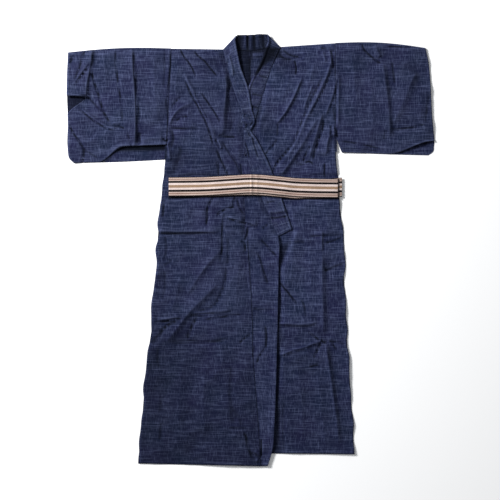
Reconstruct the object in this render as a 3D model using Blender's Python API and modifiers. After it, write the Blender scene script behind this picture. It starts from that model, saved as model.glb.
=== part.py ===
"""A light unlined cotton robe laid flat on its back, with its own belt folded across the waist.

Metres, +Z up. The robe lies on z = 0 with its hem towards -Y and the wearer's right side at -X. The origin is
under the middle of the whole garment. Every piece that is cut and sewn is one wall of cloth: each body length
and each sleeve is one cloth folded at the top, so its back half lies on the ground and its front half on that.
"""
import math

import bpy
import numpy as np

MM = 0.001

# ---- driving dimensions -----------------------------------------------------------------------------------
CLOTH = 1.2 * MM             # wall of the robe's cloth
BAND = 2.2 * MM              # collar band, several layers of cloth pressed together
BELT_WALL = 1.2 * MM         # one layer of the belt
BELT_WIDTH = 67 * MM
BELT_PITCH = 1.5 * MM        # from one layer of the folded belt to the next
BELT_SKEW = -4 * MM          # how far the inner folds stray from the top layer at the belt's right end
SEAM = 0.3 * MM              # air between two pieces at a seam

# heights of the underside of each layer
UNDER_FRONT = 1.6 * MM       # the wearer's left front, and all that lies straight on the back
OVER_FRONT = 4.2 * MM        # the wearer's right front where it crosses the other one
CROSSING_X = (-215 * MM, -160 * MM)     # the right front rises from the lower height to the upper one here
NECK_LIFT = 1.0 * MM         # the left collar stands this much higher where it turns over the shoulder
NECK_LIFT_LENGTH = 90 * MM

CENTRE_NECK_Y = 697 * MM     # the back neck seam at the centre back
CENTRE_HEM_Y = -709 * MM     # the back hem at the centre back
ROW_STEP = 19 * MM           # spacing of the loft rows on the fronts
SLEEVE_STEP = 18 * MM
BODY_CELLS = 15              # cells across a body length, an overlap panel, the collar, a sleeve and the belt
OVERLAP_CELLS = 5
COLLAR_CELLS = 3
SLEEVE_CELLS = 19
BELT_CELLS = 3
TURN_STEPS = 5               # points round each fold
CALM_BELT = (44 * MM, 80 * MM)          # folds are pressed flat under the belt and come back beside it
CALM_SHOULDER = (8 * MM, 45 * MM)       # and below the shoulder fold
CALM_COVER = (12 * MM, 45 * MM)         # and on the left front, where the right one lies on it

# ---- outlines, millimetres --------------------------------------------------------------------------------
# A row for each section of a front, shoulder to hem: the outer edge, the seam to the overlap panel, that
# panel's own edge, and the collar's free edge. Above the overlap panel its two edges are one. The collar ends
# with the row OVER_COLLAR_END or UNDER_COLLAR_END, and below it the free edge is the panel's edge.
# columns: side x, side y, seam x, seam y, edge x, edge y, free x, free y
RIGHT_FRONT = [
    (-278, 706, -96, 703, -96, 703, -54, 736),
    (-281, 646, -79, 639, -79, 639, -36, 646),
    (-285, 562, -58, 562, -58, 562, -7, 564),
    (-290, 464, -30, 474, -30, 474, 7, 481),
    (-294, 380, -21, 380, -21, 380, 23, 387),
    (-299, 310, -30, 317, -9, 317, 58, 317),
    (-309, 229, -24, 233, 19, 236, 88, 240),
    (-318, 135, -14, 142, 58, 142, 121, 145),
    (-326, 44, -16, 51, 96, 51, 145, 75),
    (-331, -61, -9, -61, 98, -61, 98, -61),
    (-344, -166, -2, -173, 96, -173, 96, -173),
    (-346, -261, 2, -271, 94, -271, 94, -271),
    (-357, -338, 2, -341, 92, -341, 92, -341),
    (-370, -453, 10, -453, 89, -460, 89, -460),
    (-381, -593, 21, -593, 84, -593, 84, -593),
    (-390, -698, 28, -698, 76, -698, 76, -698),
    (-393, -745, 32, -755, 60, -754, 60, -754),
]
OVER_COLLAR_END = 8
LEFT_FRONT = [
    (297, 725, 105, 712, 105, 712, 61, 730),
    (298, 660, 80, 660, 80, 660, 40, 667),
    (299, 576, 51, 576, 51, 576, -4, 579),
    (299, 485, 26, 492, 26, 492, -23, 499),
    (298, 380, -2, 387, -2, 387, -51, 394),
    (300, 299, -5, 299, -26, 306, -79, 317),
    (307, 212, -2, 212, -51, 222, -100, 236),
    (318, 124, 2, 124, -75, 135, -122, 152),
    (325, 44, 2, 44, -100, 51, -141, 72),
    (328, -40, -2, -40, -100, -40, -100, -40),
    (330, -145, -2, -145, -100, -145, -100, -145),
    (338, -278, -2, -278, -96, -278, -96, -278),
    (342, -383, -5, -383, -93, -383, -93, -383),
    (352, -506, -9, -506, -91, -506, -91, -506),
    (360, -614, -12, -614, -89, -614, -89, -614),
    (364, -713, -16, -709, -86, -708, -86, -708),
]
UNDER_COLLAR_END = 8

# A row for each section of a sleeve: the cuff edge, the armhole edge, how far the middle of the section lies
# above the straight line between them, and how far the front half is drawn up off the back one.
# columns: cuff x, cuff y, armhole x, armhole y, bow, drawn up
RIGHT_SLEEVE_FRONT = [
    (-638, 693, -278, 707, 8, 0),
    (-641, 614, -282, 632, 4, 0),
    (-642, 534, -286, 544, 0, 0),
    (-639, 457, -290, 462, 0, 4),
    (-637, 387, -293.2, 390, 0, 22),
    (-638, 345, -294.5, 350, 0, 38),
    (-632, 320, -295.5, 328, 0, 48),
    (-618, 306, -296, 318, 0, 52),
]
RIGHT_SLEEVE_BACK = [
    (-618, 306, -299.5, 318, -2, 0),
    (-632, 320, -298.5, 329, 0, 0),
    (-638, 345, -297, 352, 0, 0),
    (-639, 457, -290.5, 464, 0, 0),
    (-642, 534, -286.5, 544, 0, 0),
    (-641, 614, -282, 632, 4, 0),
    (-638, 693, -278, 707, 8, 0),
]
LEFT_SLEEVE_FRONT = [
    (612, 708, 297.3, 726, 10, 0),
    (622, 660, 298.2, 667, 5, 0),
    (629, 590, 299, 597, 0, 0),
    (632, 527, 299.2, 534, 0, 0),
    (636, 455, 299, 457, 0, 4),
    (641, 392, 299, 402, 0, 16),
    (642, 362, 307, 374, 0, 32),
    (642, 345, 314, 356, 0, 42),
    (641, 333, 320, 343, 0, 50),
]
LEFT_SLEEVE_BACK = [
    (622, 333, 320, 343, -1, 0),
    (637, 344, 314, 356, 0, 0),
    (642, 366, 307, 376, 0, 0),
    (636, 455, 299, 457, 0, 0),
    (632, 527, 299.2, 534, 0, 0),
    (629, 590, 299, 597, 0, 0),
    (622, 660, 298.2, 667, 5, 0),
    (612, 708, 297.3, 726, 10, 0),
]
# where a drawn-up front leaves the bottom seam and where it is fully up, as shares from cuff to armhole
RIGHT_DRAWN = (0.26, 0.55)
LEFT_DRAWN = (0.50, 0.0)

# The collar behind the neck, wearer's right to left. columns: seam x, seam y, free x, free y
BACK_COLLAR = [
    (-80, 703, -45, 752),
    (-48, 701, -29, 752),
    (-24, 699.5, -14, 752),
    (0, 698, 1, 752.5),
    (26, 702, 16, 753.5),
    (52, 706, 33, 755),
    (85, 710.3, 51, 755),
]
# The lines that the collar turns over on, seam end then free end. columns: seam x, seam y, free x, free y
RIGHT_TURN = (-92, 706.5, -50, 749)
LEFT_TURN = (101.5, 713.5, 59, 754.5)

# The belt's run. columns: x, y of its middle, height of what it lies on
BELT_RUN = [
    (-285, 222, 3.3),
    (-225, 222.5, 3.3),
    (-150, 224, 5.9),
    (0, 228, 5.9),
    (15, 228, 6.9),
    (105, 224, 6.9),
    (150, 222.5, 3.4),
    (308, 219, 3.4),
]
BELT_TUCK = 10.5             # the inner fold at the right end reaches this far past the top layer
BELT_LAYERS = 4

# ---- folds, millimetres -----------------------------------------------------------------------------------
# A ridge is round on both sides of its line. A step is high on the left of its line, start to end, and drops
# to nothing on the right. The bow pushes the middle of the line to its left.
# columns: kind, start x, start y, end x, end y, bow, width, height
RIGHT_FRONT_FOLDS = [
    ("ridge", -233, 628, -75, 261, 12, 18, 3.4),      # from the shoulder down to the belt
    ("step", -96, 401, -77, 646, 0, 34, 4.2),         # soft pleat beside the collar
    ("ridge", -194, 691, -107, 607, 0, 16, 2.2),
    ("ridge", -289, 436, -212, 509, 0, 20, 3.2),      # out of the armhole
    ("step", -320, 72, -114, 75, 0, 26, 3.4),         # across, below the belt
    ("ridge", -100, 19, -212, -163, 0, 32, 5.0),      # long diagonals over the thigh
    ("ridge", -110, -128, -289, -324, 14, 32, 5.2),
    ("ridge", -89, 124, 19, 93, 0, 16, 2.6),          # over the hidden collar end
    ("step", -324, -243, -212, -226, 0, 20, 2.6),
    ("ridge", -299, -334, -9, -306, -8, 26, 2.8),
    ("ridge", -23, -639, 12, -733, 0, 16, 2.2),       # into the hem corner
    ("ridge", 2, -331, 23, -628, 0, 14, 1.6),         # the seam stands up a little
]
LEFT_FRONT_FOLDS = [
    ("ridge", 250, 579, 89, 299, 14, 24, 4.6),        # broad band from the shoulder to the waist
    ("step", 93, 443, 180, 607, -8, 26, 3.2),
    ("ridge", 282, 527, 212, 324, 6, 18, 3.2),
    ("ridge", 243, 467, 131, 289, 0, 18, 3.0),
    ("step", 313, -663, 250, 54, 18, 34, 4.4),        # pleat down the side
    ("step", 96, -254, 229, -250, 0, 26, 3.4),        # across at the knee
    ("ridge", 103, -355, 257, -317, 0, 18, 2.6),
    ("ridge", 107, 698, 187, 674, -8, 14, 2.4),       # at the neck
    ("ridge", 208, 51, 317, 58, 0, 20, 2.4),
]
RIGHT_SLEEVE_FOLDS = [
    ("step", -401, 345, -415, 705, 0, 34, 4.6),       # pleat down the sleeve
    ("ridge", -467, 698, -443, 436, 0, 18, 2.6),
    ("ridge", -562, 653, -485, 432, -8, 20, 3.6),
    ("ridge", -597, 499, -467, 422, 0, 18, 3.0),
    ("ridge", -628, 439, -530, 324, -14, 18, 3.2),
    ("step", -572, 541, -555, 702, 0, 30, 4.0),       # turned cuff
]
LEFT_SLEEVE_FOLDS = [
    ("step", 485, 397, 457, 667, 0, 34, 4.6),
    ("ridge", 387, 716, 457, 656, 0, 18, 3.0),
    ("ridge", 551, 632, 499, 464, 0, 26, 4.0),
    ("ridge", 506, 422, 621, 432, 0, 20, 2.6),
    ("ridge", 331, 380, 453, 355, 0, 18, 2.4),
]

# columns: red, green, blue, roughness
COLOURS = {
    "navy cotton": (0.024, 0.030, 0.085, 0.9),
    "navy cotton, collar": (0.028, 0.034, 0.094, 0.9),
    "belt stripe cream": (0.62, 0.50, 0.38, 0.85),
}
COLLECTION = "cotton yukata robe"


# ---- helpers ----------------------------------------------------------------------------------------------
def smooth(t):
    """0 to 1 with level ends."""
    t = np.clip(t, 0.0, 1.0)
    return t * t * (3.0 - 2.0 * t)


def between(value, span):
    """How far value has come through span, 0 to 1, with level ends."""
    return smooth((value - span[0]) / (span[1] - span[0]))


def fold_height(x, y, fold):
    """Height that one row of a fold table adds at x, y."""
    kind, x0, y0, x1, y1, bow, width, height = fold
    start = np.array((x0, y0)) * MM
    run = np.array((x1, y1)) * MM - start
    length = math.hypot(*run)
    along = ((x - start[0]) * run[0] + (y - start[1]) * run[1]) / length ** 2
    left = ((y - start[1]) * run[0] - (x - start[0]) * run[1]) / length
    t = np.clip(along, 0.0, 1.0)
    left = left - bow * MM * 4.0 * t * (1.0 - t)
    ends = smooth((along + 0.04) / 0.2) * smooth((1.04 - along) / 0.2)
    if kind == "ridge":
        shape = np.exp(-(left / (width * MM)) ** 2)
    else:
        shape = np.where(left >= 0.0, 1.0 - smooth(left / (2.0 * width * MM)), 0.0)
    return height * MM * shape * ends


def folds_height(x, y, folds):
    """The highest of the folds at each point, so that two that cross don't add up."""
    return np.max([fold_height(x, y, fold) for fold in folds], axis=0)


def fill_rows(table, step):
    """The rows of a table in metres, with more between them until none is further apart than about step."""
    rows = np.array(table, dtype=float) * MM
    filled = [rows[0]]
    for low, high in zip(rows, rows[1:]):
        gap = np.hypot(*((high - low)[0:2] + (high - low)[2:4]) / 2)
        count = max(1, round(gap / step))
        filled.extend(low + (high - low) * k / count for k in range(1, count + 1))
    return np.array(filled)


def across(row, first, last, cells, inset=SEAM / 2):
    """Points over one section between two of its named edges, each drawn in by half a seam."""
    start = row[2 * first:2 * first + 2]
    end = row[2 * last:2 * last + 2]
    way = (end - start) / max(np.hypot(*(end - start)), 1e-9)
    start = start + way * inset
    end = end - way * inset
    return np.array([start + (end - start) * k / cells for k in range(cells + 1)])


def turn_over(low_row, high_row, outward):
    """Rows round a fold: low_row and high_row are the same line at two heights, outward the way it bulges."""
    radius = (high_row[:, 2] - low_row[:, 2]) / 2
    middle = (high_row[:, 2] + low_row[:, 2]) / 2
    rows = []
    for k in range(TURN_STEPS + 2):
        angle = math.pi * (k / (TURN_STEPS + 1) - 0.5)
        row = low_row.copy()
        row[:, 0] += outward[0] * radius * (math.cos(angle) - 1.0)
        row[:, 1] += outward[1] * radius * (math.cos(angle) - 1.0)
        row[:, 2] = middle + radius * math.sin(angle)
        rows.append(row)
    return rows


def at_height(points, height):
    """Plan points as points in space."""
    return np.column_stack((points, np.broadcast_to(height, len(points))))


SIDE, INNER_SEAM, PANEL_EDGE, FREE = range(4)


def over_level(x):
    """Underside of the wearer's right front."""
    return UNDER_FRONT + (OVER_FRONT - UNDER_FRONT) * between(x, CROSSING_X)


def calm_at_belt(y):
    """0 under the belt, 1 clear of it."""
    middle = BELT_RUN[3][1] * MM
    return between(np.abs(y - middle), CALM_BELT)


def cover_edge(y):
    """X of the right front's free edge, which lies over the left front."""
    rows = np.array(RIGHT_FRONT, dtype=float)[::-1] * MM
    return np.interp(y, rows[:, 7], rows[:, 6])


def right_front_height(x, y):
    """Middle of the wearer's right front's wall."""
    calm = calm_at_belt(y) * between(RIGHT_FRONT[0][1] * MM - y, CALM_SHOULDER)
    return over_level(x) + CLOTH / 2 + calm * folds_height(x, y, RIGHT_FRONT_FOLDS)


def left_front_height(x, y):
    """Middle of the wearer's left front's wall, flat where the other front lies on it."""
    calm = calm_at_belt(y) * between(LEFT_FRONT[0][3] * MM - y, CALM_SHOULDER)
    calm = calm * between(x - cover_edge(y), CALM_COVER)
    return UNDER_FRONT + CLOTH / 2 + calm * folds_height(x, y, LEFT_FRONT_FOLDS)


# ---- the pieces -------------------------------------------------------------------------------------------
def front_rows(table, height, first, last, cells, step):
    """Rows of points of one piece of a front, at the height that a function gives."""
    rows = []
    for row in fill_rows(table, step):
        points = across(row, first, last, cells)
        rows.append(at_height(points, height(points[:, 0], points[:, 1])))
    return rows


def body_length(table, height, hand):
    """One cloth from the back hem over the shoulder to the front hem; hand is -1 on the wearer's right."""
    centre_x = hand * SEAM / 2
    back = []
    for side_x, side_y in [(row[0] * MM, row[1] * MM) for row in table[:0:-1]]:
        low, high = table[-1][1] * MM, table[1][1] * MM
        centre_y = side_y + (CENTRE_HEM_Y - low) * smooth(1.0 - (side_y - low) / (0.25 * (high - low)))
        back.append((side_x, side_y, centre_x, centre_y))
    neck_side = np.array(table[0][0:2]) * 0.85 + np.array(table[1][0:2]) * 0.15
    back.append((*neck_side * MM, centre_x, CENTRE_NECK_Y))
    rows = []
    for row in back:
        rows.append(at_height(across(np.array(row), 0, 1, BODY_CELLS, 0.0), CLOTH / 2))
    front = front_rows(table, height, SIDE, INNER_SEAM, BODY_CELLS, ROW_STEP)
    low_row = front[0].copy()
    low_row[:, 2] = CLOTH / 2
    rows += turn_over(low_row, front[0], (0.0, 1.0))
    return rows + front[1:]


def overlap_panel(table, height):
    """The panel sewn to a body length's front edge, from its point beside the collar to the hem."""
    rows = front_rows(table, height, INNER_SEAM, PANEL_EDGE, OVERLAP_CELLS, ROW_STEP)
    return [row for row in rows if np.hypot(*(row[-1] - row[0])[:2]) > 4 * MM]


def sleeve(front, back, folds, drawn):
    """One cloth folded along the sleeve's top, its front half on its back half."""
    share = np.linspace(0.0, 1.0, SLEEVE_CELLS + 1)

    def points(row):
        line = across(row, 0, 1, SLEEVE_CELLS)
        line[:, 1] += row[4] * np.sin(np.pi * share) + row[5] * between(share, drawn)
        return line

    rows = [at_height(points(row), CLOTH / 2) for row in np.array(back[:-1], dtype=float) * MM]
    upper = []
    for row in fill_rows(front, SLEEVE_STEP):
        line = points(row)
        calm = between(front[0][3] * MM - line[:, 1], CALM_SHOULDER)
        lift = calm * folds_height(line[:, 0], line[:, 1], folds)
        upper.append(at_height(line, UNDER_FRONT + CLOTH / 2 + lift))
    low_row = upper[0].copy()
    low_row[:, 2] = CLOTH / 2
    rows += turn_over(low_row, upper[0], (0.0, 1.0))
    return rows + upper[1:]


def collar():
    """The band from the right front's collar end, round behind the neck, to the left front's collar end."""
    def strip(table, last, height):
        rows = []
        for row in fill_rows(table[:last + 1], ROW_STEP):
            points = across(row, PANEL_EDGE, FREE, COLLAR_CELLS)
            rows.append(at_height(points, height(points[:, 1])))
        return rows

    def turn(line, low, high, outward):
        points = across(np.array(line) * MM, 0, 1, COLLAR_CELLS)
        return turn_over(at_height(points, low), at_height(points, high), outward)

    ground = BAND / 2
    over = OVER_FRONT + BAND / 2
    under = UNDER_FRONT + BAND / 2
    neck_y = LEFT_FRONT[0][3] * MM
    right = strip(RIGHT_FRONT, OVER_COLLAR_END, lambda y: np.full(len(y), over))
    left = strip(LEFT_FRONT, UNDER_COLLAR_END,
                 lambda y: under + NECK_LIFT * smooth(1.0 - (neck_y - y) / NECK_LIFT_LENGTH))
    diagonal = math.sqrt(0.5)
    rows = right[::-1]
    rows += turn(RIGHT_TURN, ground, over, (-diagonal, diagonal))[::-1]
    for row in fill_rows(BACK_COLLAR, ROW_STEP):
        rows.append(at_height(across(row, 0, 1, COLLAR_CELLS, 0.0), ground))
    rows += turn(LEFT_TURN, ground, under + NECK_LIFT, (diagonal, diagonal))
    return rows + left


def belt():
    """One long band folded to and fro in layers across the waist."""
    run = np.array(BELT_RUN, dtype=float) * MM
    left_end, right_end = run[0, 0], run[-1, 0]
    tuck = BELT_TUCK * MM
    stops = np.arange(left_end, right_end, ROW_STEP)
    rows = []

    def section(x, z, layer, skew):
        middle = np.interp(x, run[:, 0], run[:, 1]) + skew * (x - left_end) / (right_end - left_end)
        width = np.linspace(0.5, -0.5, BELT_CELLS + 1) * BELT_WIDTH
        height = np.interp(x, run[:, 0], run[:, 2]) + BELT_WALL / 2 + BELT_PITCH * layer + z
        return np.column_stack((np.full(len(width), x), middle + width, np.full(len(width), height)))

    radius = BELT_PITCH / 2
    for layer in range(BELT_LAYERS):
        top = layer == BELT_LAYERS - 1
        skew = 0.0 if top else BELT_SKEW
        end = right_end if top or layer == 0 else right_end + tuck
        xs = np.append(stops[1:], end)
        xs = np.insert(xs, 0, left_end + radius)
        if layer % 2 == 0:
            xs = xs[::-1]
        rows += [section(x, 0.0, layer, skew) for x in xs]
        if top:
            break
        way = -1.0 if layer % 2 == 0 else 1.0
        for k in range(1, 4):
            angle = math.pi * (k / 4 - 0.5)
            x = xs[-1] + way * radius * math.cos(angle)
            rows.append(section(x, radius * (1.0 + math.sin(angle)), layer, skew))
    return rows


# ---- building ---------------------------------------------------------------------------------------------
def make_material(name):
    """A Principled material from the table of colours."""
    red, green, blue, roughness = COLOURS[name]
    material = bpy.data.materials.new(name)
    material.use_nodes = True
    shader = material.node_tree.nodes["Principled BSDF"]
    shader.inputs["Base Color"].default_value = (red, green, blue, 1.0)
    shader.inputs["Roughness"].default_value = roughness
    material.diffuse_color = (red, green, blue, 1.0)
    return material


def cloth_object(name, rows, wall, material, collection):
    """A loft through rows of points, made a wall of cloth by Solidify."""
    rows = np.array(rows)
    count, columns = rows.shape[:2]
    faces = []
    for i in range(count - 1):
        for j in range(columns - 1):
            corner = i * columns + j
            faces.append((corner, corner + 1, corner + columns + 1, corner + columns))
    mesh = bpy.data.meshes.new(name)
    mesh.from_pydata(rows.reshape(-1, 3).tolist(), [], faces)
    mesh.update()
    mesh.materials.append(material)
    piece = bpy.data.objects.new(name, mesh)
    collection.objects.link(piece)
    solidify = piece.modifiers.new("cloth wall", "SOLIDIFY")
    solidify.thickness = wall
    solidify.offset = 0.0
    return piece


def main():
    for old in list(bpy.data.objects):
        bpy.data.objects.remove(old, do_unlink=True)
    collection = bpy.data.collections.new(COLLECTION)
    bpy.context.scene.collection.children.link(collection)
    materials = {name: make_material(name) for name in COLOURS}
    navy = materials["navy cotton"]
    sleeve_right_rows = sleeve(RIGHT_SLEEVE_FRONT, RIGHT_SLEEVE_BACK, RIGHT_SLEEVE_FOLDS, RIGHT_DRAWN)
    sleeve_left_rows = sleeve(LEFT_SLEEVE_FRONT, LEFT_SLEEVE_BACK, LEFT_SLEEVE_FOLDS, LEFT_DRAWN)
    # columns: node, rows of its middle surface, wall, material
    pieces = [
        ("body_right", body_length(RIGHT_FRONT, right_front_height, -1), CLOTH, navy),
        ("body_left", body_length(LEFT_FRONT, left_front_height, 1), CLOTH, navy),
        ("okumi_right", overlap_panel(RIGHT_FRONT, right_front_height), CLOTH, navy),
        ("okumi_left", overlap_panel(LEFT_FRONT, left_front_height), CLOTH, navy),
        ("sleeve_right", sleeve_right_rows, CLOTH, navy),
        ("sleeve_left", sleeve_left_rows, CLOTH, navy),
        ("collar", collar(), BAND, materials["navy cotton, collar"]),
        ("belt", belt(), BELT_WALL, materials["belt stripe cream"]),
    ]
    for name, rows, wall, material in pieces:
        cloth_object(name, rows, wall, material, collection)


main()
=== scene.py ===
# %% [markdown]
# # A cotton yukata laid flat, with its belt across the waist
# A yukata is a light unlined robe sewn from one narrow bolt of cotton. Each side is a single length that
# runs from the back hem over the shoulder to the front hem; a narrow overlap panel, two sleeves and a long
# collar band are sewn to it. The frame that is loaded first holds plain solids of those pieces. This file
# dresses them: every piece is made again as a fine sheet of cloth with its creases, and then gets its
# weave, stripes and stitches.

import math
from types import SimpleNamespace

import bpy
import numpy as np
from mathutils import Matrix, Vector


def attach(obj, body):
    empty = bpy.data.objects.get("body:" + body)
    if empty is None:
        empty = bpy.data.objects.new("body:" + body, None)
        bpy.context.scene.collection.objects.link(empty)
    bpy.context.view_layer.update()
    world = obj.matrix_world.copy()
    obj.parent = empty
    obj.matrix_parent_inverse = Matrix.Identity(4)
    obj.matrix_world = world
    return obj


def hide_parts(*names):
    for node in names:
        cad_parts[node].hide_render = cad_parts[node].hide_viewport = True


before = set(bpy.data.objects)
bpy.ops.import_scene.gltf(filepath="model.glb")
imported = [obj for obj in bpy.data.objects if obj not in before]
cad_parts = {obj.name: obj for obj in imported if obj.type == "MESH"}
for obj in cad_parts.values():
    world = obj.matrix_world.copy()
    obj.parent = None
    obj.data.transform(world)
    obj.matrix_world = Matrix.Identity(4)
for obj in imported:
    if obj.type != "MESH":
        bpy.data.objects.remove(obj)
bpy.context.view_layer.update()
SCENE = bpy.context.scene
MM = 0.001
print("solids:", ", ".join(sorted(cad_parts)))

# %% [markdown]
# ## How the layers lie
# The back lies on the floor, the wearer's left front on the back, and the wearer's right front over both,
# so a handful of heights decides where every sheet goes. Cloth walls are thinner here than in the solids,
# because a renderer has no trouble with thin walls. All heights are those of the middle of a wall.

# %% Layer heights and walls
WALL = 0.8 * MM              # the robe's cloth
BAND_WALL = 1.8 * MM         # the collar band: several layers of cloth pressed together
BELT_WALL = 0.9 * MM
BACK = 0.6 * MM              # middle of the back layer
UNDER = 2.2 * MM             # middle of the left front, and of all that lies straight on the back
OVER = 4.8 * MM              # middle of the right front, where it crosses the left one
RISE = (-215 * MM, -160 * MM)        # the right front rises from UNDER to OVER between these places
SEAM_STEP = 0.8 * MM         # at a seam one cloth lies this much higher and the other this much lower
TUCK = 4 * MM                # and the lower one runs on this far under the upper one
CENTRE_NECK_Y = 703 * MM
CENTRE_HEM_Y = -709 * MM
# hands: -1 is the wearer's right, 1 the wearer's left
ARMHOLE_END = {-1: 318 * MM, 1: 343 * MM}       # where each sleeve leaves the side
BELT_Y = 224 * MM
STEP = 2.7 * MM              # spacing of the points of a front
print(f"cloth {WALL / MM:.1f} mm thick, points {STEP / MM:.1f} mm apart")

# %% [markdown]
# ## Outlines
# A robe's pieces are long strips, so each is described as a ladder: a row for each section, and in the row
# the points where the section meets the piece's edges. These are a maker's own sizes in millimetres, chosen
# where an edge bends. Between them the edges run in smooth curves.

# %% Outlines of the fronts, sleeves and collar
# columns: side x, side y, seam x, seam y, overlap panel's edge x, y, collar's free edge x, y
RIGHT_FRONT = [
    (-278, 706, -96, 703, -96, 703, -54, 736),
    (-281, 646, -79, 639, -79, 639, -36, 646),
    (-285, 562, -58, 562, -58, 562, -7, 564),
    (-290, 480, -32, 488, -32, 488, 5, 494),
    (-291, 445, -27, 446, -27, 446, 15, 446),
    (-292, 422, -25, 424, -25, 424, 3, 424),
    (-294, 380, -21, 380, -21, 380, 23, 387),
    (-299, 310, -30, 317, -9, 317, 58, 317),
    (-309, 229, -24, 233, 19, 236, 88, 240),
    (-318, 135, -14, 142, 58, 142, 121, 145),
    (-326, 44, -16, 51, 96, 51, 145, 75),
    (-331, -61, -9, -61, 98, -61, 98, -61),
    (-344, -166, -2, -173, 96, -173, 96, -173),
    (-346, -261, 2, -271, 94, -271, 94, -271),
    (-357, -338, 2, -341, 92, -341, 92, -341),
    (-370, -453, 10, -453, 89, -460, 89, -460),
    (-381, -593, 21, -593, 84, -593, 84, -593),
    (-390, -698, 28, -698, 76, -698, 76, -698),
    (-393, -745, 32, -755, 60, -754, 60, -754),
]
LEFT_FRONT = [
    (297, 725, 105, 712, 105, 712, 61, 730),
    (298, 660, 80, 660, 80, 660, 40, 667),
    (299, 576, 51, 576, 51, 576, -4, 579),
    (299, 485, 26, 492, 26, 492, -23, 499),
    (298, 380, -2, 387, -2, 387, -51, 394),
    (300, 299, -5, 299, -26, 306, -79, 317),
    (307, 212, -2, 212, -51, 222, -100, 236),
    (318, 124, 2, 124, -75, 135, -122, 152),
    (325, 44, 2, 44, -100, 51, -141, 72),
    (328, -40, -2, -40, -100, -40, -100, -40),
    (330, -145, -2, -145, -100, -145, -100, -145),
    (338, -278, -2, -278, -96, -278, -96, -278),
    (342, -383, -5, -383, -93, -383, -93, -383),
    (352, -506, -9, -506, -91, -506, -91, -506),
    (360, -614, -12, -614, -89, -614, -89, -614),
    (364, -713, -16, -709, -86, -708, -86, -708),
]
COLLAR_END = {-1: 10, 1: 8}  # the collar band ends with this row of each front
SIDE, INNER_SEAM, PANEL_EDGE, FREE = 0, 2, 4, 6

# columns: cuff x, y, armhole x, y, bow of the section, how far the front is drawn up off the back
RIGHT_SLEEVE_FRONT = [
    (-638, 693, -278, 707, 8, 0),
    (-641, 614, -282, 632, 4, 0),
    (-642, 534, -286, 544, 0, 0),
    (-639, 457, -290, 462, 0, 4),
    (-637, 387, -293.2, 390, 0, 22),
    (-638, 345, -294.5, 350, 0, 38),
    (-632, 320, -295.5, 328, 0, 48),
    (-618, 306, -296, 318, 0, 52),
]
RIGHT_SLEEVE_BACK = [
    (-618, 306, -299.5, 318, -2, 0),
    (-632, 320, -298.5, 329, 0, 0),
    (-638, 345, -297, 352, 0, 0),
    (-639, 457, -290.5, 464, 0, 0),
    (-642, 534, -286.5, 544, 0, 0),
] + RIGHT_SLEEVE_FRONT[1::-1]
LEFT_SLEEVE_FRONT = [
    (612, 708, 297.3, 726, 10, 0),
    (622, 660, 298.2, 667, 5, 0),
    (629, 590, 299, 597, 0, 0),
    (632, 527, 299.2, 534, 0, 0),
    (636, 455, 299, 457, 0, 4),
    (641, 392, 299, 402, 0, 16),
    (642, 362, 307, 374, 0, 32),
    (642, 345, 314, 356, 0, 42),
    (641, 333, 320, 343, 0, 50),
]
LEFT_SLEEVE_BACK = [
    (622, 333, 320, 343, -1, 0),
    (637, 344, 314, 356, 0, 0),
    (642, 366, 307, 376, 0, 0),
    (636, 455, 299, 457, 0, 0),
] + LEFT_SLEEVE_FRONT[3::-1]
# the drawn-up front leaves the bottom seam between these shares of the way from cuff to armhole
RIGHT_DRAWN = (0.26, 0.55)
LEFT_DRAWN = (0.50, 0.0)
CUFF_NOTCH = (474 * MM, 541 * MM, 68 * MM)    # the right cuff gapes between these heights, this deep

# the collar behind the neck, and the lines that it turns over on. columns: seam x, seam y, free x, free y
BACK_COLLAR = [
    (-80, 703, -45, 752),
    (-48, 701, -29, 752),
    (-24, 699.5, -14, 752),
    (0, 698, 1, 752.5),
    (26, 702, 16, 753.5),
    (52, 706, 33, 755),
    (85, 710.3, 51, 755),
]
RIGHT_TURN = (-92, 706.5, -50, 749)
LEFT_TURN = (101.5, 713.5, 59, 754.5)
print("rows:", len(RIGHT_FRONT), "and", len(LEFT_FRONT), "for the fronts")

# %% [markdown]
# ## Creases
# Flat cloth tells its story in its creases, so they are placed one by one. Each row below is a smooth line
# with a height and two widths: how far its slope reaches on the left of the line and on the right. A
# negative height is a furrow. A pleat is high at its line, with a wide gentle side and a narrow steep one.
# Left and right are seen along the line, from its first point to its last.

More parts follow.
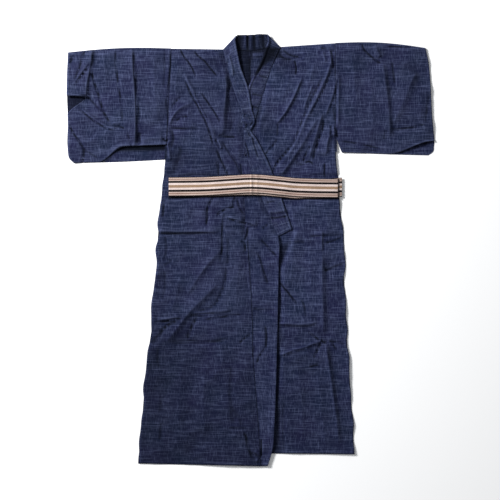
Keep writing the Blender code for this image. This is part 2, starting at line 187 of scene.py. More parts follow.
# %% Creases of the wearer's right sleeve
# columns: height, width on the left, width on the right, then the points of the line, all in millimetres
RIGHT_SLEEVE_CREASES = [
    (6.0, 40, 2.4, (-406, 350), (-403, 402), (-403, 455), (-403, 508), (-406, 560), (-410, 612),
     (-413, 658), (-416, 730)),
    (-1.8, 6, 8, (-392, 508), (-389, 472), (-390, 436)),
    (-3.8, 9, 16, (-386, 416), (-388, 386), (-396, 350)),
    (-2.8, 2.5, 3, (-472, 716), (-469, 648), (-464, 602), (-458, 560), (-451, 515), (-448, 473),
     (-446, 438)),
    (-3.8, 6, 3, (-556, 640), (-550, 602), (-539, 567), (-528, 535), (-520, 504), (-511, 480), (-497, 455),
     (-484, 434)),
    (2.6, 9, 3, (-466, 424), (-490, 427), (-511, 437), (-535, 451), (-560, 469), (-581, 486), (-600, 498)),
    (-3.8, 3, 4, (-470, 420), (-492, 423), (-513, 433), (-537, 447), (-562, 465), (-583, 482), (-602, 496)),
    (-1.4, 4, 3, (-572, 536), (-553, 521), (-535, 500), (-513, 482)),
    (-2.8, 4, 3, (-636, 444), (-616, 406), (-598, 381), (-580, 352)),
    (-3.2, 4, 4, (-582, 362), (-583, 332), (-588, 302)),
    (-1.8, 3, 3, (-583, 354), (-560, 339), (-533, 323)),
    (-3.6, 8, 7, (-636, 632), (-630, 654), (-616, 684)),
    (-3.4, 9, 5, (-577, 708), (-588, 672), (-595, 644), (-606, 616), (-616, 590)),
    (-3.8, 5, 10, (-612, 582), (-594, 606), (-572, 634), (-560, 652)),
    (5.0, 12, 4, (-620, 575), (-598, 612), (-577, 640), (-560, 668)),
    (1.8, 10, 4, (-558, 646), (-554, 680), (-556, 722)),
    (5.6, 36, 2.5, (-576, 526), (-574, 560), (-571, 592), (-565, 622), (-560, 650), (-556, 690),
     (-554, 712)),
    (8.0, 60, 2, (-656, 527), (-610, 531), (-564, 541)),
    (-2.4, 4, 4, (-477, 427), (-462, 433), (-450, 430), (-438, 425)),
    (2.0, 5, 4, (-488, 439), (-470, 446), (-455, 441)),
    (-2.0, 3, 3, (-431, 418), (-423, 388), (-416, 364), (-409, 343), (-401, 306)),
    (-2.2, 4, 3, (-281, 712), (-280, 665), (-282, 630), (-285, 595), (-288, 560), (-290, 525), (-291, 480),
     (-290, 434)),
    (-1.8, 6, 5, (-292, 540), (-293, 480), (-291, 430)),
    (-1.0, 3, 3, (-299, 712), (-300, 640), (-303, 560)),
    (2.8, 16, 14, (-388, 384), (-345, 392), (-304, 394)),
    (-2.8, 3, 3, (-306, 393), (-296, 382), (-286, 388)),
    (2.6, 4, 4, (-293, 384), (-286, 352), (-281, 312)),
    (1.6, 14, 14, (-330, 700), (-338, 610), (-330, 520), (-322, 440)),
    (1.2, 12, 12, (-520, 700), (-508, 620), (-500, 550)),
]

# %% Creases of the wearer's right front
RIGHT_FRONT_CREASES = [
    (-2.6, 3, 3, (-249, 710), (-231, 676), (-214, 655), (-200, 630), (-191, 606)),
    (-3.0, 4, 3, (-202, 702), (-182, 679), (-161, 662), (-140, 637), (-114, 606)),
    (-2.6, 3, 3, (-234, 602), (-217, 567), (-203, 536), (-186, 508), (-172, 480), (-158, 452), (-147, 424),
     (-137, 392), (-125, 354)),
    (3.4, 6, 6, (-235, 630), (-214, 581), (-196, 550), (-175, 511), (-158, 480), (-143, 448), (-133, 420),
     (-121, 380)),
    (-2.4, 3, 3, (-200, 560), (-178, 515), (-161, 483), (-146, 450)),
    (-3.0, 4, 3, (-174, 554), (-154, 525), (-140, 504), (-126, 483), (-116, 466), (-103, 442)),
    (7.0, 36, 7, (-110, 392), (-98, 417), (-95, 444), (-95, 480), (-91, 508), (-87, 542), (-85, 575),
     (-84, 600), (-85, 622)),
    (3.0, 7, 5, (-85, 560), (-83, 596), (-82, 624), (-84, 650), (-88, 690)),
    (-4.4, 26, 24, (-70, 598), (-62, 548), (-60, 490), (-64, 440), (-74, 400)),
    (-3.6, 7, 3, (-114, 400), (-84, 397), (-50, 396)),
    (-2.6, 3, 3, (-123, 390), (-115, 372), (-107, 357)),
    (2.4, 4, 4, (-117, 387), (-108, 372), (-103, 354)),
    (-3.2, 5, 4, (-120, 358), (-108, 326), (-98, 304), (-88, 284), (-76, 256)),
    (-2.2, 4, 3, (-99, 387), (-88, 360), (-77, 343), (-63, 322), (-49, 301), (-38, 276), (-32, 254)),
    (-1.8, 8, 8, (-64, 340), (-52, 315), (-42, 290)),
    (-3.0, 5, 4, (-290, 431), (-260, 428), (-238, 426), (-175, 423)),
    (3.8, 7, 7, (-288, 432), (-275, 463), (-260, 485), (-238, 503), (-198, 516)),
    (-1.8, 4, 3, (-275, 499), (-260, 521), (-241, 538)),
    (-2.2, 4, 3, (-262, 452), (-242, 465), (-217, 469)),
    (-4.4, 8, 8, (-283, 430), (-270, 395), (-281, 355)),
    (-4.4, 16, 18, (-240, 372), (-253, 330), (-268, 292), (-286, 246)),
    (2.0, 16, 10, (-262, 354), (-190, 358), (-122, 356)),
    (-2.4, 5, 4, (-115, 314), (-110, 256)),
    (-2.4, 3, 3, (-36, 306), (-30, 256)),
    (1.8, 16, 16, (-200, 470), (-214, 400), (-205, 320), (-210, 256)),
    (1.4, 14, 14, (-250, 650), (-262, 580), (-255, 522)),
    # below the belt
    (-2.6, 5, 5, (-304, 186), (-303, 150), (-307, 112)),
    (-3.4, 5, 5, (-126, 193), (-143, 162), (-151, 142), (-152, 112), (-155, 80)),
    (5.2, 26, 4, (-334, 70), (-280, 68), (-245, 67), (-180, 68), (-140, 67), (-104, 69)),
    (-2.4, 3, 3, (-336, 61), (-280, 59), (-245, 58), (-180, 59), (-124, 60)),
    (-3.6, 3, 3, (-119, 123), (-98, 137), (-84, 144), (-57, 152)),
    (-3.6, 3, 3, (-86, 115), (-54, 105), (-28, 98), (-8, 93), (18, 85)),
    (-3.0, 4, 4, (-55, 193), (-61, 144)),
    (-1.8, 3, 3, (-50, 186), (-38, 150), (-22, 124)),
    (-2.8, 5, 3, (-90, 138), (-94, 105), (-98, 77), (-98, 49), (-98, 18), (-101, -10), (-106, -46)),
    (-2.4, 10, 12, (-78, 46), (-76, 0), (-80, -58)),
    (5.0, 18, 11, (-222, -158), (-196, -112), (-175, -80), (-154, -52), (-130, -25), (-100, 8)),
    (6.4, 20, 9, (-300, -324), (-252, -262), (-228, -231), (-210, -210), (-189, -189), (-168, -168),
     (-147, -147), (-112, -112)),
    (-3.0, 8, 12, (-200, -217), (-158, -206), (-130, -194), (-114, -175), (-103, -150), (-92, -122),
     (-86, -88), (-84, -44)),
    (3.2, 14, 4, (-210, -217), (-175, -217), (-140, -214), (-105, -212), (-60, -205)),
    (-2.2, 3, 3, (-166, -242), (-133, -238), (-105, -234), (-70, -228), (-24, -222)),
    (3.2, 14, 3, (-328, -243), (-290, -238), (-270, -234), (-244, -229)),
    (-2.6, 3, 3, (-338, -252), (-290, -247), (-264, -242), (-236, -235)),
    (-2.2, 3, 3, (-214, -226), (-175, -227), (-120, -221)),
    (-5.0, 10, 8, (-250, -244), (-290, -262), (-315, -287), (-352, -327)),
    (-4.2, 5, 8, (-184, -231), (-200, -256), (-210, -280), (-220, -312)),
    (-3.0, 8, 7, (-292, -318), (-245, -322), (-210, -319), (-175, -322), (-140, -319), (-105, -315),
     (-66, -305)),
    (-1.8, 3, 3, (-41, -325), (-21, -308), (3, -291)),
    (-1.4, 6, 6, (-299, 52), (-293, 10), (-298, -30)),
    (-1.8, 8, 8, (-310, -27), (-280, -36), (-305, -55)),
    (-1.4, 9, 8, (-300, -68), (-298, -120), (-309, -178)),
    (4.0, 9, 4, (-82, 118), (-52, 109), (-28, 102), (-10, 98), (7, 93), (27, 89)),
    (-1.8, 4, 4, (-94, 79), (-52, 80), (-12, 80)),
    (-3.8, 4, 3, (-8, 84), (-11, 62), (-20, 34)),
    (-2.6, 4, 3, (-39, 33), (-22, 26), (-18, 10), (-20, -14)),
    (-3.2, 6, 4, (20, -1), (32, -28), (40, -52), (46, -74), (53, -95), (63, -123)),
    (-2.2, 3, 3, (34, 40), (50, 24), (60, 14), (73, 0), (95, -26)),
    (-1.8, 3, 3, (41, 75), (50, 82), (62, 92)),
    (-2.2, 5, 5, (6, -202), (45, -210), (92, -206)),
    (-3.6, 5, 5, (51, -260), (56, -300), (54, -342)),
    (-2.4, 3, 3, (59, -330), (44, -352), (30, -372), (22, -402)),
    (-1.6, 3, 3, (14, -330), (12, -352), (8, -376)),
    (-3.6, 4, 4, (-23, -631), (-14, -655), (-10, -676), (-4, -697), (4, -718), (14, -738)),
    (-2.4, 3, 3, (38, -656), (39, -724)),
    (-2.6, 4, 4, (2, -705), (24, -716), (36, -730)),
    (2.6, 5, 5, (13, -697), (26, -712), (21, -740)),
    (-1.7, 4, 4, (-67, -402), (-72, -450), (-75, -516)),
    (-1.3, 4, 4, (-64, -545), (-51, -586)),
    (-3.0, 22, 20, (-72, -400), (-70, -500), (-58, -620)),
    (-2.0, 3, 3, (-76, -620), (-40, -621), (-12, -620)),
    (-2.4, 5, 5, (-307, -600), (-313, -630), (-316, -666)),
    (-1.8, 8, 8, (-322, -338), (-324, -380), (-320, -416)),
    (-1.8, 10, 10, (-318, -472), (-312, -520), (-318, -570)),
    (-1.6, 10, 10, (-62, -552), (-38, -590), (-28, -618)),
    (1.8, 22, 22, (-236, -50), (-262, -160), (-286, -235)),
    (2.0, 22, 22, (-150, -370), (-166, -500), (-158, -650)),
    (1.8, 20, 20, (-240, -390), (-250, -540), (-262, -700)),
    (1.6, 16, 16, (-30, 66), (-42, -60), (-52, -200)),
]
RIGHT_CREASES = RIGHT_SLEEVE_CREASES + RIGHT_FRONT_CREASES
print(len(RIGHT_CREASES), "creases on the wearer's right side")

# %% Creases of the wearer's left side
LEFT_SLEEVE_CREASES = [
    (-2.8, 3, 4, (388, 730), (399, 700), (413, 686), (430, 672), (448, 658), (463, 653)),
    (3.4, 12, 6, (454, 672), (441, 700), (428, 732)),
    (6.2, 40, 6, (487, 386), (485, 430), (483, 455), (481, 490), (478, 525), (474, 560), (469, 595),
     (466, 623), (457, 660)),
    (-2.8, 5, 5, (473, 422), (472, 386)),
    (-2.2, 6, 5, (495, 662), (500, 620), (506, 578)),
    (5.5, 34, 11, (498, 440), (515, 480), (525, 504), (539, 532), (549, 560), (563, 595), (586, 632)),
    (-2.4, 4, 4, (482, 423), (511, 423), (542, 427), (567, 430), (595, 437), (618, 442)),
    (-1.8, 6, 4, (612, 440), (617, 490), (623, 525), (628, 552)),
    (-2.0, 3, 3, (311, 382), (350, 378), (385, 371), (420, 364), (455, 356)),
    (-1.8, 4, 4, (320, 356), (360, 352), (400, 350), (455, 350)),
    (-2.6, 3, 3, (474, 714), (515, 713), (562, 710)),
    (1.4, 14, 14, (352, 700), (362, 600), (372, 490)),
    (1.4, 12, 12, (418, 610), (424, 520), (430, 430)),
    (1.4, 14, 14, (590, 570), (596, 500), (590, 455)),
]
LEFT_FRONT_CREASES = [
    (-3.0, 3, 4, (110, 705), (133, 686), (154, 679), (190, 679)),
    (-2.6, 3, 4, (101, 685), (119, 672), (146, 668)),
    (4.0, 12, 4, (88, 439), (105, 462), (119, 480), (133, 504), (147, 529), (158, 553), (168, 578),
     (182, 610)),
    (-2.0, 3, 3, (153, 667), (160, 640), (159, 610)),
    (4.0, 7, 6, (96, 286), (116, 314), (136, 340), (156, 372), (172, 404), (184, 436), (198, 470),
     (218, 508), (234, 540), (248, 572), (262, 602), (272, 628), (281, 662), (288, 700)),
    (-1.6, 5, 5, (206, 468), (224, 502), (242, 536), (258, 566), (272, 600), (282, 636)),
    (-2.8, 6, 6, (264, 634), (250, 604), (238, 576), (222, 546), (206, 514), (190, 476), (176, 440),
     (164, 408), (150, 376), (130, 348), (105, 320), (86, 296), (66, 264)),
    (1.8, 4, 3, (184, 490), (194, 520), (206, 552), (220, 584)),
    (-2.4, 8, 5, (142, 364), (122, 341), (105, 320), (88, 296), (66, 258)),
    (4.8, 24, 6, (98, 254), (122, 287), (140, 312), (158, 340), (175, 364), (189, 388), (203, 413),
     (214, 430), (228, 452), (247, 468)),
    (-2.4, 4, 3, (210, 368), (196, 340), (183, 308)),
    (-2.8, 4, 3, (155, 307), (182, 301), (203, 311), (226, 299)),
    (3.6, 10, 6, (203, 318), (217, 368), (228, 402), (238, 437), (252, 484)),
    (-2.8, 4, 4, (259, 464), (249, 413), (238, 385), (228, 350), (217, 310)),
    (4.8, 14, 6, (262, 330), (268, 378), (275, 402), (283, 442)),
    (-2.4, 3, 3, (259, 308), (259, 252)),
    (2.6, 5, 9, (303, 620), (297, 584), (289, 552), (279, 520), (269, 494), (262, 466)),
    (-1.2, 5, 5, (305, 600), (299, 560), (290, 528), (276, 490)),
    (-2.4, 6, 5, (276, 714), (284, 690), (288, 655), (290, 628)),
    (-3.0, 6, 5, (243, 709), (270, 704), (297, 699)),
    (2.2, 3, 3, (308, 620), (308, 560), (307, 500), (306, 424)),
    (-1.6, 3, 3, (291, 512), (292, 452)),
    (2.4, 5, 4, (250, 698), (262, 656)),
    (2.4, 5, 4, (275, 704), (281, 644)),
    (-3.2, 4, 4, (281, 438), (278, 400)),
    (-3.2, 4, 4, (299, 430), (304, 392)),
    (2.6, 4, 4, (289, 438), (293, 400)),
    (-2.4, 3, 3, (95, 391), (77, 364), (63, 350), (49, 333)),
    (-1.6, 4, 4, (97, 452), (94, 397)),
    (1.6, 16, 16, (140, 650), (128, 580), (104, 512)),
    (1.8, 14, 14, (222, 660), (206, 590), (176, 512)),
    # below the belt
    (-2.8, 3, 3, (102, -107), (116, -130), (130, -144), (140, -158), (151, -172), (165, -190)),
    (-1.8, 4, 4, (179, -168), (190, -200), (195, -236)),
    (2.6, 22, 2.5, (249, -6), (249, 72)),
    (5.4, 24, 8, (254, -300), (252, -210), (250, -140), (249, -60), (249, 0)),
    (5.4, 22, 6, (308, -690), (302, -630), (299, -595), (292, -542), (285, -490), (278, -438), (270, -385),
     (260, -310)),
    (-3.8, 7, 6, (254, -76), (287, -58), (328, -44)),
    (-3.0, 4, 4, (259, 25), (290, 35), (324, 49)),
    (-2.2, 5, 5, (200, 49), (262, 52), (328, 58)),
    (-2.0, 9, 8, (106, 18), (150, 28), (198, 30)),
    (6.6, 20, 4, (86, -253), (122, -254), (158, -256), (192, -256), (217, -253), (234, -246)),
    (3.4, 10, 4, (88, -364), (116, -360), (140, -350), (165, -343), (192, -336), (217, -325), (254, -317)),
    (-2.2, 3, 3, (202, -283), (220, -298), (243, -315)),
    (-4.4, 5, 5, (244, -317), (270, -324)),
    (-2.8, 4, 4, (248, -320), (234, -350), (221, -378)),
    (-3.0, 3, 3, (205, -408), (228, -401), (246, -399)),
    (-2.0, 3, 3, (284, -321), (303, -351)),
    (-2.4, 4, 4, (272, -317), (300, -320), (331, -327)),
    (-3.4, 10, 10, (98, -525), (97, -620), (95, -716)),
    (-1.8, 3, 3, (116, -530), (117, -710)),
    (2.0, 18, 18, (140, 160), (150, 40), (146, -90)),
    (1.8, 16, 16, (204, 30), (212, -90), (206, -210)),
    (1.8, 18, 18, (160, -390), (176, -520), (182, -670)),
    (1.5, 14, 14, (232, -420), (246, -550), (262, -690)),
]
LEFT_CREASES = LEFT_SLEEVE_CREASES + LEFT_FRONT_CREASES
print(len(LEFT_CREASES), "creases on the wearer's left side")

# %% Creases of the collar band and of the back inside it
OVER_COLLAR_CREASES = [
    (-1.6, 3, 3, (-84, 668), (-77, 625), (-69, 590)),
    (2.0, 5, 3, (-61, 605), (-65, 639), (-78, 688)),
    (-3.4, 4, 4, (-34, 472), (-14, 472), (4, 464)),
    (-3.4, 3, 3, (-31, 452), (-28, 425), (-24, 400)),
    (-3.2, 4, 3, (-16, 444), (-6, 418), (0, 396)),
    (-2.8, 3, 3, (-28, 478), (-36, 458), (-34, 436), (-22, 424), (-8, 428)),
    (2.4, 5, 4, (-33, 452), (-12, 452), (8, 444)),
    (-2.0, 3, 3, (-16, 436), (-2, 424), (6, 412)),
    (-1.8, 3, 3, (-24, 392), (-8, 343), (-4, 318)),
    (-1.6, 3, 3, (4, 404), (14, 366), (30, 318)),
    (-2.6, 7, 5, (66, 112), (100, 115), (134, 120)),
    (2.4, 12, 4, (60, 134), (94, 136), (126, 140)),
    (-1.2, 3, 3, (56, 168), (88, 172)),
]
UNDER_COLLAR_CREASES = [
    (-2.0, 4, 4, (-4, 506), (12, 503), (30, 497)),
    (-1.4, 3, 3, (4, 548), (44, 540)),
    (-1.4, 4, 4, (28, 612), (60, 604)),
]
BACK_COLLAR_CREASES = [
    (2.2, 5, 4, (-18, 680), (-17, 770)),
    (-2.0, 4, 4, (-10, 680), (-10, 770)),
    (1.8, 6, 6, (1, 680), (2, 770)),
    (-1.8, 5, 4, (14, 680), (13, 770)),
    (1.6, 6, 6, (28, 680), (26, 770)),
    (-1.8, 5, 4, (48, 680), (43, 770)),
]
BACK_CREASES = [
    (-1.4, 3, 3, (9, 694), (2, 672), (0, 640), (0, 550)),
    (1.6, 8, 3, (4, 686), (24, 685), (44, 683)),
    (1.0, 10, 10, (-24, 694), (-22, 620), (-14, 550)),
    (1.0, 9, 9, (20, 680), (22, 640), (14, 590)),
]
COLLAR_CREASES = OVER_COLLAR_CREASES + UNDER_COLLAR_CREASES + BACK_COLLAR_CREASES
print(len(COLLAR_CREASES), "creases on the collar")

# %% [markdown]
# ## Curves and relief
# The relief of a front is the sum of its creases and of soft uneven bulges, kept above the layer that it
# lies on. The bulges are sums of sine waves in random directions with a fixed seed, so that each run gives
# the same cloth. Creases could be sculpted or simulated instead; lines with a cross-section are quicker to
# place exactly.

# %% Smooth steps and smooth curves
def smooth(t):
    """0 to 1 with level ends."""
    t = np.clip(t, 0.0, 1.0)
    return t * t * (3.0 - 2.0 * t)


def between(value, low, high):
    """How far value has come from low to high, 0 to 1, with level ends. High may be the smaller one."""
    return smooth((value - low) / (high - low))


def window(value, rise, fall):
    """Goes up from 0 to 1 over the first pair of values and back down over the second."""
    return between(value, *rise) * between(value, *fall)


def fade(distance, reach):
    """1 at an edge, and down to 0 at that reach."""
    return 1.0 - smooth(distance / reach)


def bell(distance, width):
    """1 at 0, and less and less on both sides."""
    return np.exp(-(distance / width) ** 2)


def in_metres(table):
    """A table in millimetres as an array in metres."""
    return np.array(table, dtype=float) * MM


def curve_through(stops, values, at):
    """A smooth curve through values at their stops, read at other stops."""
    slopes = np.gradient(values, stops, axis=0)
    index = np.clip(np.searchsorted(stops, at, side="right") - 1, 0, len(stops) - 2)
    gap = (stops[index + 1] - stops[index])[:, None]
    t = (at - stops[index])[:, None] / gap
    start = (2 * t ** 3 - 3 * t ** 2 + 1) * values[index] + (t ** 3 - 2 * t ** 2 + t) * gap * slopes[index]
    end = (3 * t ** 2 - 2 * t ** 3) * values[index + 1] + (t ** 3 - t ** 2) * gap * slopes[index + 1]
    return start + end


def lengths_along(points):
    """Distance along a polyline at each of its points."""
    return np.concatenate(([0.0], np.cumsum(np.hypot(*np.diff(points, axis=0).T))))


def undulation(x, y, seed, wavelength, waves=22):
    """Soft uneven bulges of about that wavelength, with a spread of 1."""
    random = np.random.default_rng(seed)
    total = np.zeros_like(x)
    for angle, phase, scale in random.uniform((0, 0, 0.7), (math.tau, math.tau, 1.4), (waves, 3)):
        reach = math.tau * scale / wavelength
        total += np.sin(reach * (x * math.cos(angle) + y * math.sin(angle)) + phase)
    return total / math.sqrt(waves / 2)


# %% Cross-section of a crease
CREASE_PIECE = 8 * MM        # a crease's line is followed in straight pieces of about this length
CREASE_TIP = 1.3 * MM        # roundness of its tip
CREASE_REACH = 4.0           # it is left out beyond this many of its widths
CREASE_END = 0.16            # share of its length over which it fades at each end
FURROW = (1.5, 0.9)          # furrows are this many times as deep and as wide as their rows say
RIDGE = (2.1, 1.1)           # and ridges as high and as wide
FURROW_DARK = 0.34           # painted shade at a furrow's bottom, for each millimetre in its row
RIDGE_WEAR_AND_HIGHLIGHT = 0.12            # wear and painted highlight on a ridge, in the same way
FOOT_DARK = 0.070            # and painted shade at the foot of a pleat's steep side
MOST_DARK, MOST_RIDGE_AND_FOOT = 0.9, 0.6      # no furrow's painted shade is darker than the first, no ridge's wear and highlight or pleat foot's shade more than the second
SHARP = 3.5                  # the wider a crease is than this, the softer its painted shade, its wear and its painted highlight
# millimetres for any crease, and more for each millimetre of its steep side
CORE_WIDTH = (1.9, 0.4)      # width of the painted shade in a furrow and of the wear and painted highlight on a ridge
FOOT_PLACE = (2.4, 1.1)      # distance of a pleat's foot from its line
FOOT_WIDTH = (1.6, 0.6)


def widened(sizes, steep):
    """A width or a distance in metres, for a steep side in millimetres."""
    own, more = sizes
    return (own + more * steep) * MM


def follow(x, y, points):
    """Distance from a smooth line, positive on its left, and how far along it each place is, 0 to 1."""
    line = in_metres(points)
    stops = lengths_along(line)
    count = max(2, round(stops[-1] / CREASE_PIECE))
    line = curve_through(stops, line, np.linspace(0.0, stops[-1], count + 1))
    nearest = np.full(x.shape, np.inf)
    left = np.zeros_like(x)
    along = np.zeros_like(x)
    for k in range(count):
        (x0, y0), (x1, y1) = line[k], line[k + 1]
        dx, dy = x1 - x0, y1 - y0
        t = np.clip(((x - x0) * dx + (y - y0) * dy) / (dx * dx + dy * dy), 0.0, 1.0)
        away_x, away_y = x - x0 - t * dx, y - y0 - t * dy
        distance = np.hypot(away_x, away_y)
        closer = distance < nearest
        nearest = np.where(closer, distance, nearest)
        left = np.where(closer, np.sign(dx * away_y - dy * away_x) * distance, left)
        along = np.where(closer, (k + t) / count, along)
    return left, along


def crease(x, y, height, width_left, width_right, *points):
    """Height that one crease adds at each place, how dark its painted shade makes it, and how pale its wear
    and painted highlight make it.
    """
    steep, gentle = sorted((width_left, width_right))
    corners = in_metres(points)
    margin = CREASE_REACH * MM * gentle
    close = np.all([(at > corners[:, axis].min() - margin) & (at < corners[:, axis].max() + margin)
                    for axis, at in enumerate((x, y))], axis=0)
    added, dark, worn_and_lit = np.zeros_like(x), np.zeros_like(x), np.zeros_like(x)
    if not close.any():
        return added, dark, worn_and_lit
    left, along = follow(x[close], y[close], points)
    ends = smooth(along / CREASE_END) * smooth((1.0 - along) / CREASE_END)
    depth, spread = FURROW if height < 0.0 else RIDGE
    away = np.sqrt(left ** 2 + CREASE_TIP ** 2) - CREASE_TIP
    width = np.where(left > 0.0, width_left, width_right) * spread * MM
    added[close] = height * depth * MM * np.exp(-away / width) * ends
    core = bell(left, widened(CORE_WIDTH, steep)) * ends
    soft = min(1.0, SHARP / (steep + 0.5))
    # a furrow's bottom is painted dark as shade
    if height < 0.0:
        dark[close] = min(MOST_DARK, -height * FURROW_DARK * soft) * core
        return added, dark, worn_and_lit
    # a ridge is painted pale, partly as wear and partly as a painted highlight
    worn_and_lit[close] = min(MOST_RIDGE_AND_FOOT, height * RIDGE_WEAR_AND_HIGHLIGHT * soft ** 2) * core
    # a steep pleat gets painted shade at its foot
    if gentle >= 2.0 * steep:
        beside = left if width_left < width_right else -left
        foot = bell(beside - widened(FOOT_PLACE, steep), widened(FOOT_WIDTH, steep))
        dark[close] = min(MOST_RIDGE_AND_FOOT, height * FOOT_DARK * soft ** 0.8) * foot * ends
    return added, dark, worn_and_lit


def darken(dark, *extras):
    """Painted shades of several kinds together; what is below 0 is wear, painted highlight and paler
    painted shading, and stays where there is no extra.
    """
    for extra in extras:
        dark = dark + extra * (1.0 - np.clip(dark, 0.0, 1.0))
    return dark


def relief(x, y, creases):
    """Heights of all creases together, and the darkest painted shade of their furrows less the wear and
    painted highlight on their ridges.
    """
    total, darkest, most_worn_and_lit = np.zeros_like(x), np.zeros_like(x), np.zeros_like(x)
    for row in creases:
        added, dark, worn_and_lit = crease(x, y, *row)
        total += added
        darkest = np.maximum(darkest, dark)
        most_worn_and_lit = np.maximum(most_worn_and_lit, worn_and_lit)
    return total, darkest - most_worn_and_lit


# %% The lie of the fronts and sleeves
PUFF = 4.0 * MM              # cloth on cloth keeps a little air
HIGHEST = 14 * MM            # creases that cross don't pile up higher than this
SETTLING = 0.5 * MM          # how gently the cloth comes down on the layer below
# columns: seed, wavelength, spread
BULGES = [
    (11, 230 * MM, 1.50 * MM),
    (12, 110 * MM, 0.75 * MM),
    (13, 48 * MM, 0.14 * MM),
]
# soft ridges where bulges meet. columns: seed, wavelength, spread
FACETS = [
    (15, 170 * MM, 1.60 * MM),
    (16, 80 * MM, 0.45 * MM),
]
FACET_WAVES = 7
FACET_TOP = 0.8              # a facet's ridge is this high, in spreads
FACET_ROUND = 0.03
SHOULDER_TOP = {-1: 706 * MM, 1: 722 * MM}      # Y of the shoulder's fold
CALM_BELT = (35 * MM, 50 * MM)          # distance from the belt's middle in which the cloth is pressed flat
CALM_SHOULDER = (-4 * MM, 22 * MM)      # and below the shoulder's fold
CALM_COVER = (2 * MM, 24 * MM)          # and on the left front, beside the edge that lies on it
# the belt. columns: x, y of its middle, height of what it lies on
BELT_RUN = [
    (-285, 222.5, 3.3),
    (-225, 223.0, 3.3),
    (-150, 224.5, 5.9),
    (-60, 230.0, 5.9),
    (0, 233.0, 6.4),
    (40, 231.5, 6.9),
    (105, 225.5, 6.9),
    (150, 221, 4.6),
    (200, 218.7, 4.2),
    (308, 217, 3.4),
]
BELT_WIDTH = 66.5 * MM
BELT_DARK = 0.95             # painted shadow: darkness of the strip along the belt's lower edge
BELT_STRIP = (-11 * MM, -5 * MM, 8 * MM)        # heights from that edge: it begins, is full, ends
BELT_STRIP_END = 4 * MM      # and fades over this distance past the belt's ends


def bulges(x, y, hand):
    """Uneven bulges and facets of one side."""
    total = np.zeros_like(x)
    for seed, wavelength, spread in BULGES:
        total += spread * undulation(x, y, seed + 10 * hand, wavelength)
    for seed, wavelength, spread in FACETS:
        wave = undulation(x, y, seed + 10 * hand, wavelength, waves=FACET_WAVES)
        total += spread * (FACET_TOP - np.sqrt(wave ** 2 + FACET_ROUND))
    return total


def calm_at_belt(y):
    """0 under the belt, 1 clear of it."""
    return between(np.abs(y - BELT_Y), *CALM_BELT)


def below_belt(x, y):
    """1 in the narrow strip along the belt's lower edge that no light reaches."""
    run_x, run_y, _ = in_metres(BELT_RUN).T
    edge = np.interp(x, run_x, run_y) - BELT_WIDTH / 2
    begin, full, end = BELT_STRIP
    beyond = np.maximum(run_x[0] - x, x - run_x[-1])
    return between(y, edge + begin, edge + full) * (y < edge + end) * fade(beyond, BELT_STRIP_END)


def cover_edge(y):
    """X of the free edge of the right front, which lies on the left one."""
    rows = in_metres(RIGHT_FRONT)[::-1]
    return np.interp(y, rows[:, FREE + 1], rows[:, FREE])


def level(x, hand):
    """Middle of the cloth of a front that is pressed quite flat."""
    if hand > 0:
        return np.full_like(x, UNDER)
    return UNDER + (OVER - UNDER) * between(x, *RISE)


# places painted darker or paler, as the shade and light of broad folds and the shadow of the belt, in
# millimetres
# columns: x, y, reach in x, reach in y, darker (+) or paler (-)
PAINTED_SHADE_AND_LIGHT = [
    (-100, -440, 110, 260, -0.26),
    (-60, -150, 110, 180, -0.10),
    (-395, -250, 100, 380, 0.22),
    (-240, 330, 45, 45, 0.30),
    (-130, 450, 70, 120, -0.14),
    (-140, 662, 40, 26, 0.20),
    (-325, 480, 36, 130, -0.22),
    (-395, 352, 75, 34, -0.44),
    (112, 656, 58, 42, 0.42),
    (240, 455, 50, 60, -0.20),
    (370, -430, 50, 330, -0.24),
    (420, 420, 60, 90, -0.12),
    (50, 440, 45, 70, 0.36),
    (0, 196, 75, 20, 0.55),
    (160, 194, 60, 14, 0.24),
    (-262, 300, 32, 42, 0.30),
    (105, 325, 36, 46, 0.25),
    (275, -18, 50, 25, -0.20),
    (-318, -90, 26, 60, 0.26),
    (-210, -300, 45, 40, 0.20),
]


def painted_shade_and_light(x, y):
    """How much darker or paler a place is painted, as shade and light."""
    total = np.zeros_like(x)
    for x0, y0, reach_x, reach_y, amount in PAINTED_SHADE_AND_LIGHT:
        total += amount * bell(x / MM - x0, reach_x) * bell(y / MM - y0, reach_y)
    return total


def lie(x, y, hand):
    """Middle of the cloth of a front or sleeve, creases and all, and its painted shade and light: furrows,
    ridges, broad folds and the belt's shadow.
    """
    added, dark = relief(x, y, RIGHT_CREASES if hand < 0 else LEFT_CREASES)
    lift = PUFF + bulges(x, y, hand) + added
    lift = (lift + np.sqrt(lift ** 2 + SETTLING ** 2)) / 2
    lift = HIGHEST * np.tanh(lift / HIGHEST)
    calm = calm_at_belt(y) * between(SHOULDER_TOP[hand] - y, *CALM_SHOULDER)
    if hand > 0:
        calm = calm * between(x - cover_edge(y), *CALM_COVER)
    return level(x, hand) + calm * lift, darken(dark, painted_shade_and_light(x, y), BELT_DARK * below_belt(x, y))


# %% [markdown]
# ## From sections to sheets of cloth
# A sheet is a grid of points: rows along the piece, places across each row. The places crowd together at
# both edges, so that an edge can be rounded or tucked under its neighbour. The grid also carries flat cloth
# coordinates in metres for the weave, and a `crest` value that is high where the cloth bends sharply
# upwards and low in furrows and in places that no light reaches. The material paints it into the colour:
# pale on ridges, as wear and painted highlight, and dark as painted shade. A second, coarser side closes
# the wall. A Solidify modifier would double every face; this way the faces go where they show.

# %% Grids of points
EDGE_PLACES = in_metres((0.0, 0.7, 2.0))    # the first places from an edge
SHORT_SECTION = 30 * MM      # in sections shorter than this they are closer to it
CREST_FULL = 4.6 * MM        # a bend of this radius, or a sharper one, has the full crest value
CREST_GAP = 0.6 * MM         # added to the space between points, which calms it where they crowd


def places_across(length, cells):
    """Places across sections of these lengths, closer together at both edges. length is a column."""
    rim = EDGE_PLACES * np.minimum(1.0, length / SHORT_SECTION)
    inner = rim[:, -1:] + (length - 2.0 * rim[:, -1:]) * np.linspace(0.0, 1.0, cells + 1)
    return np.hstack((rim[:, :-1], inner, length - rim[:, -2::-1]))


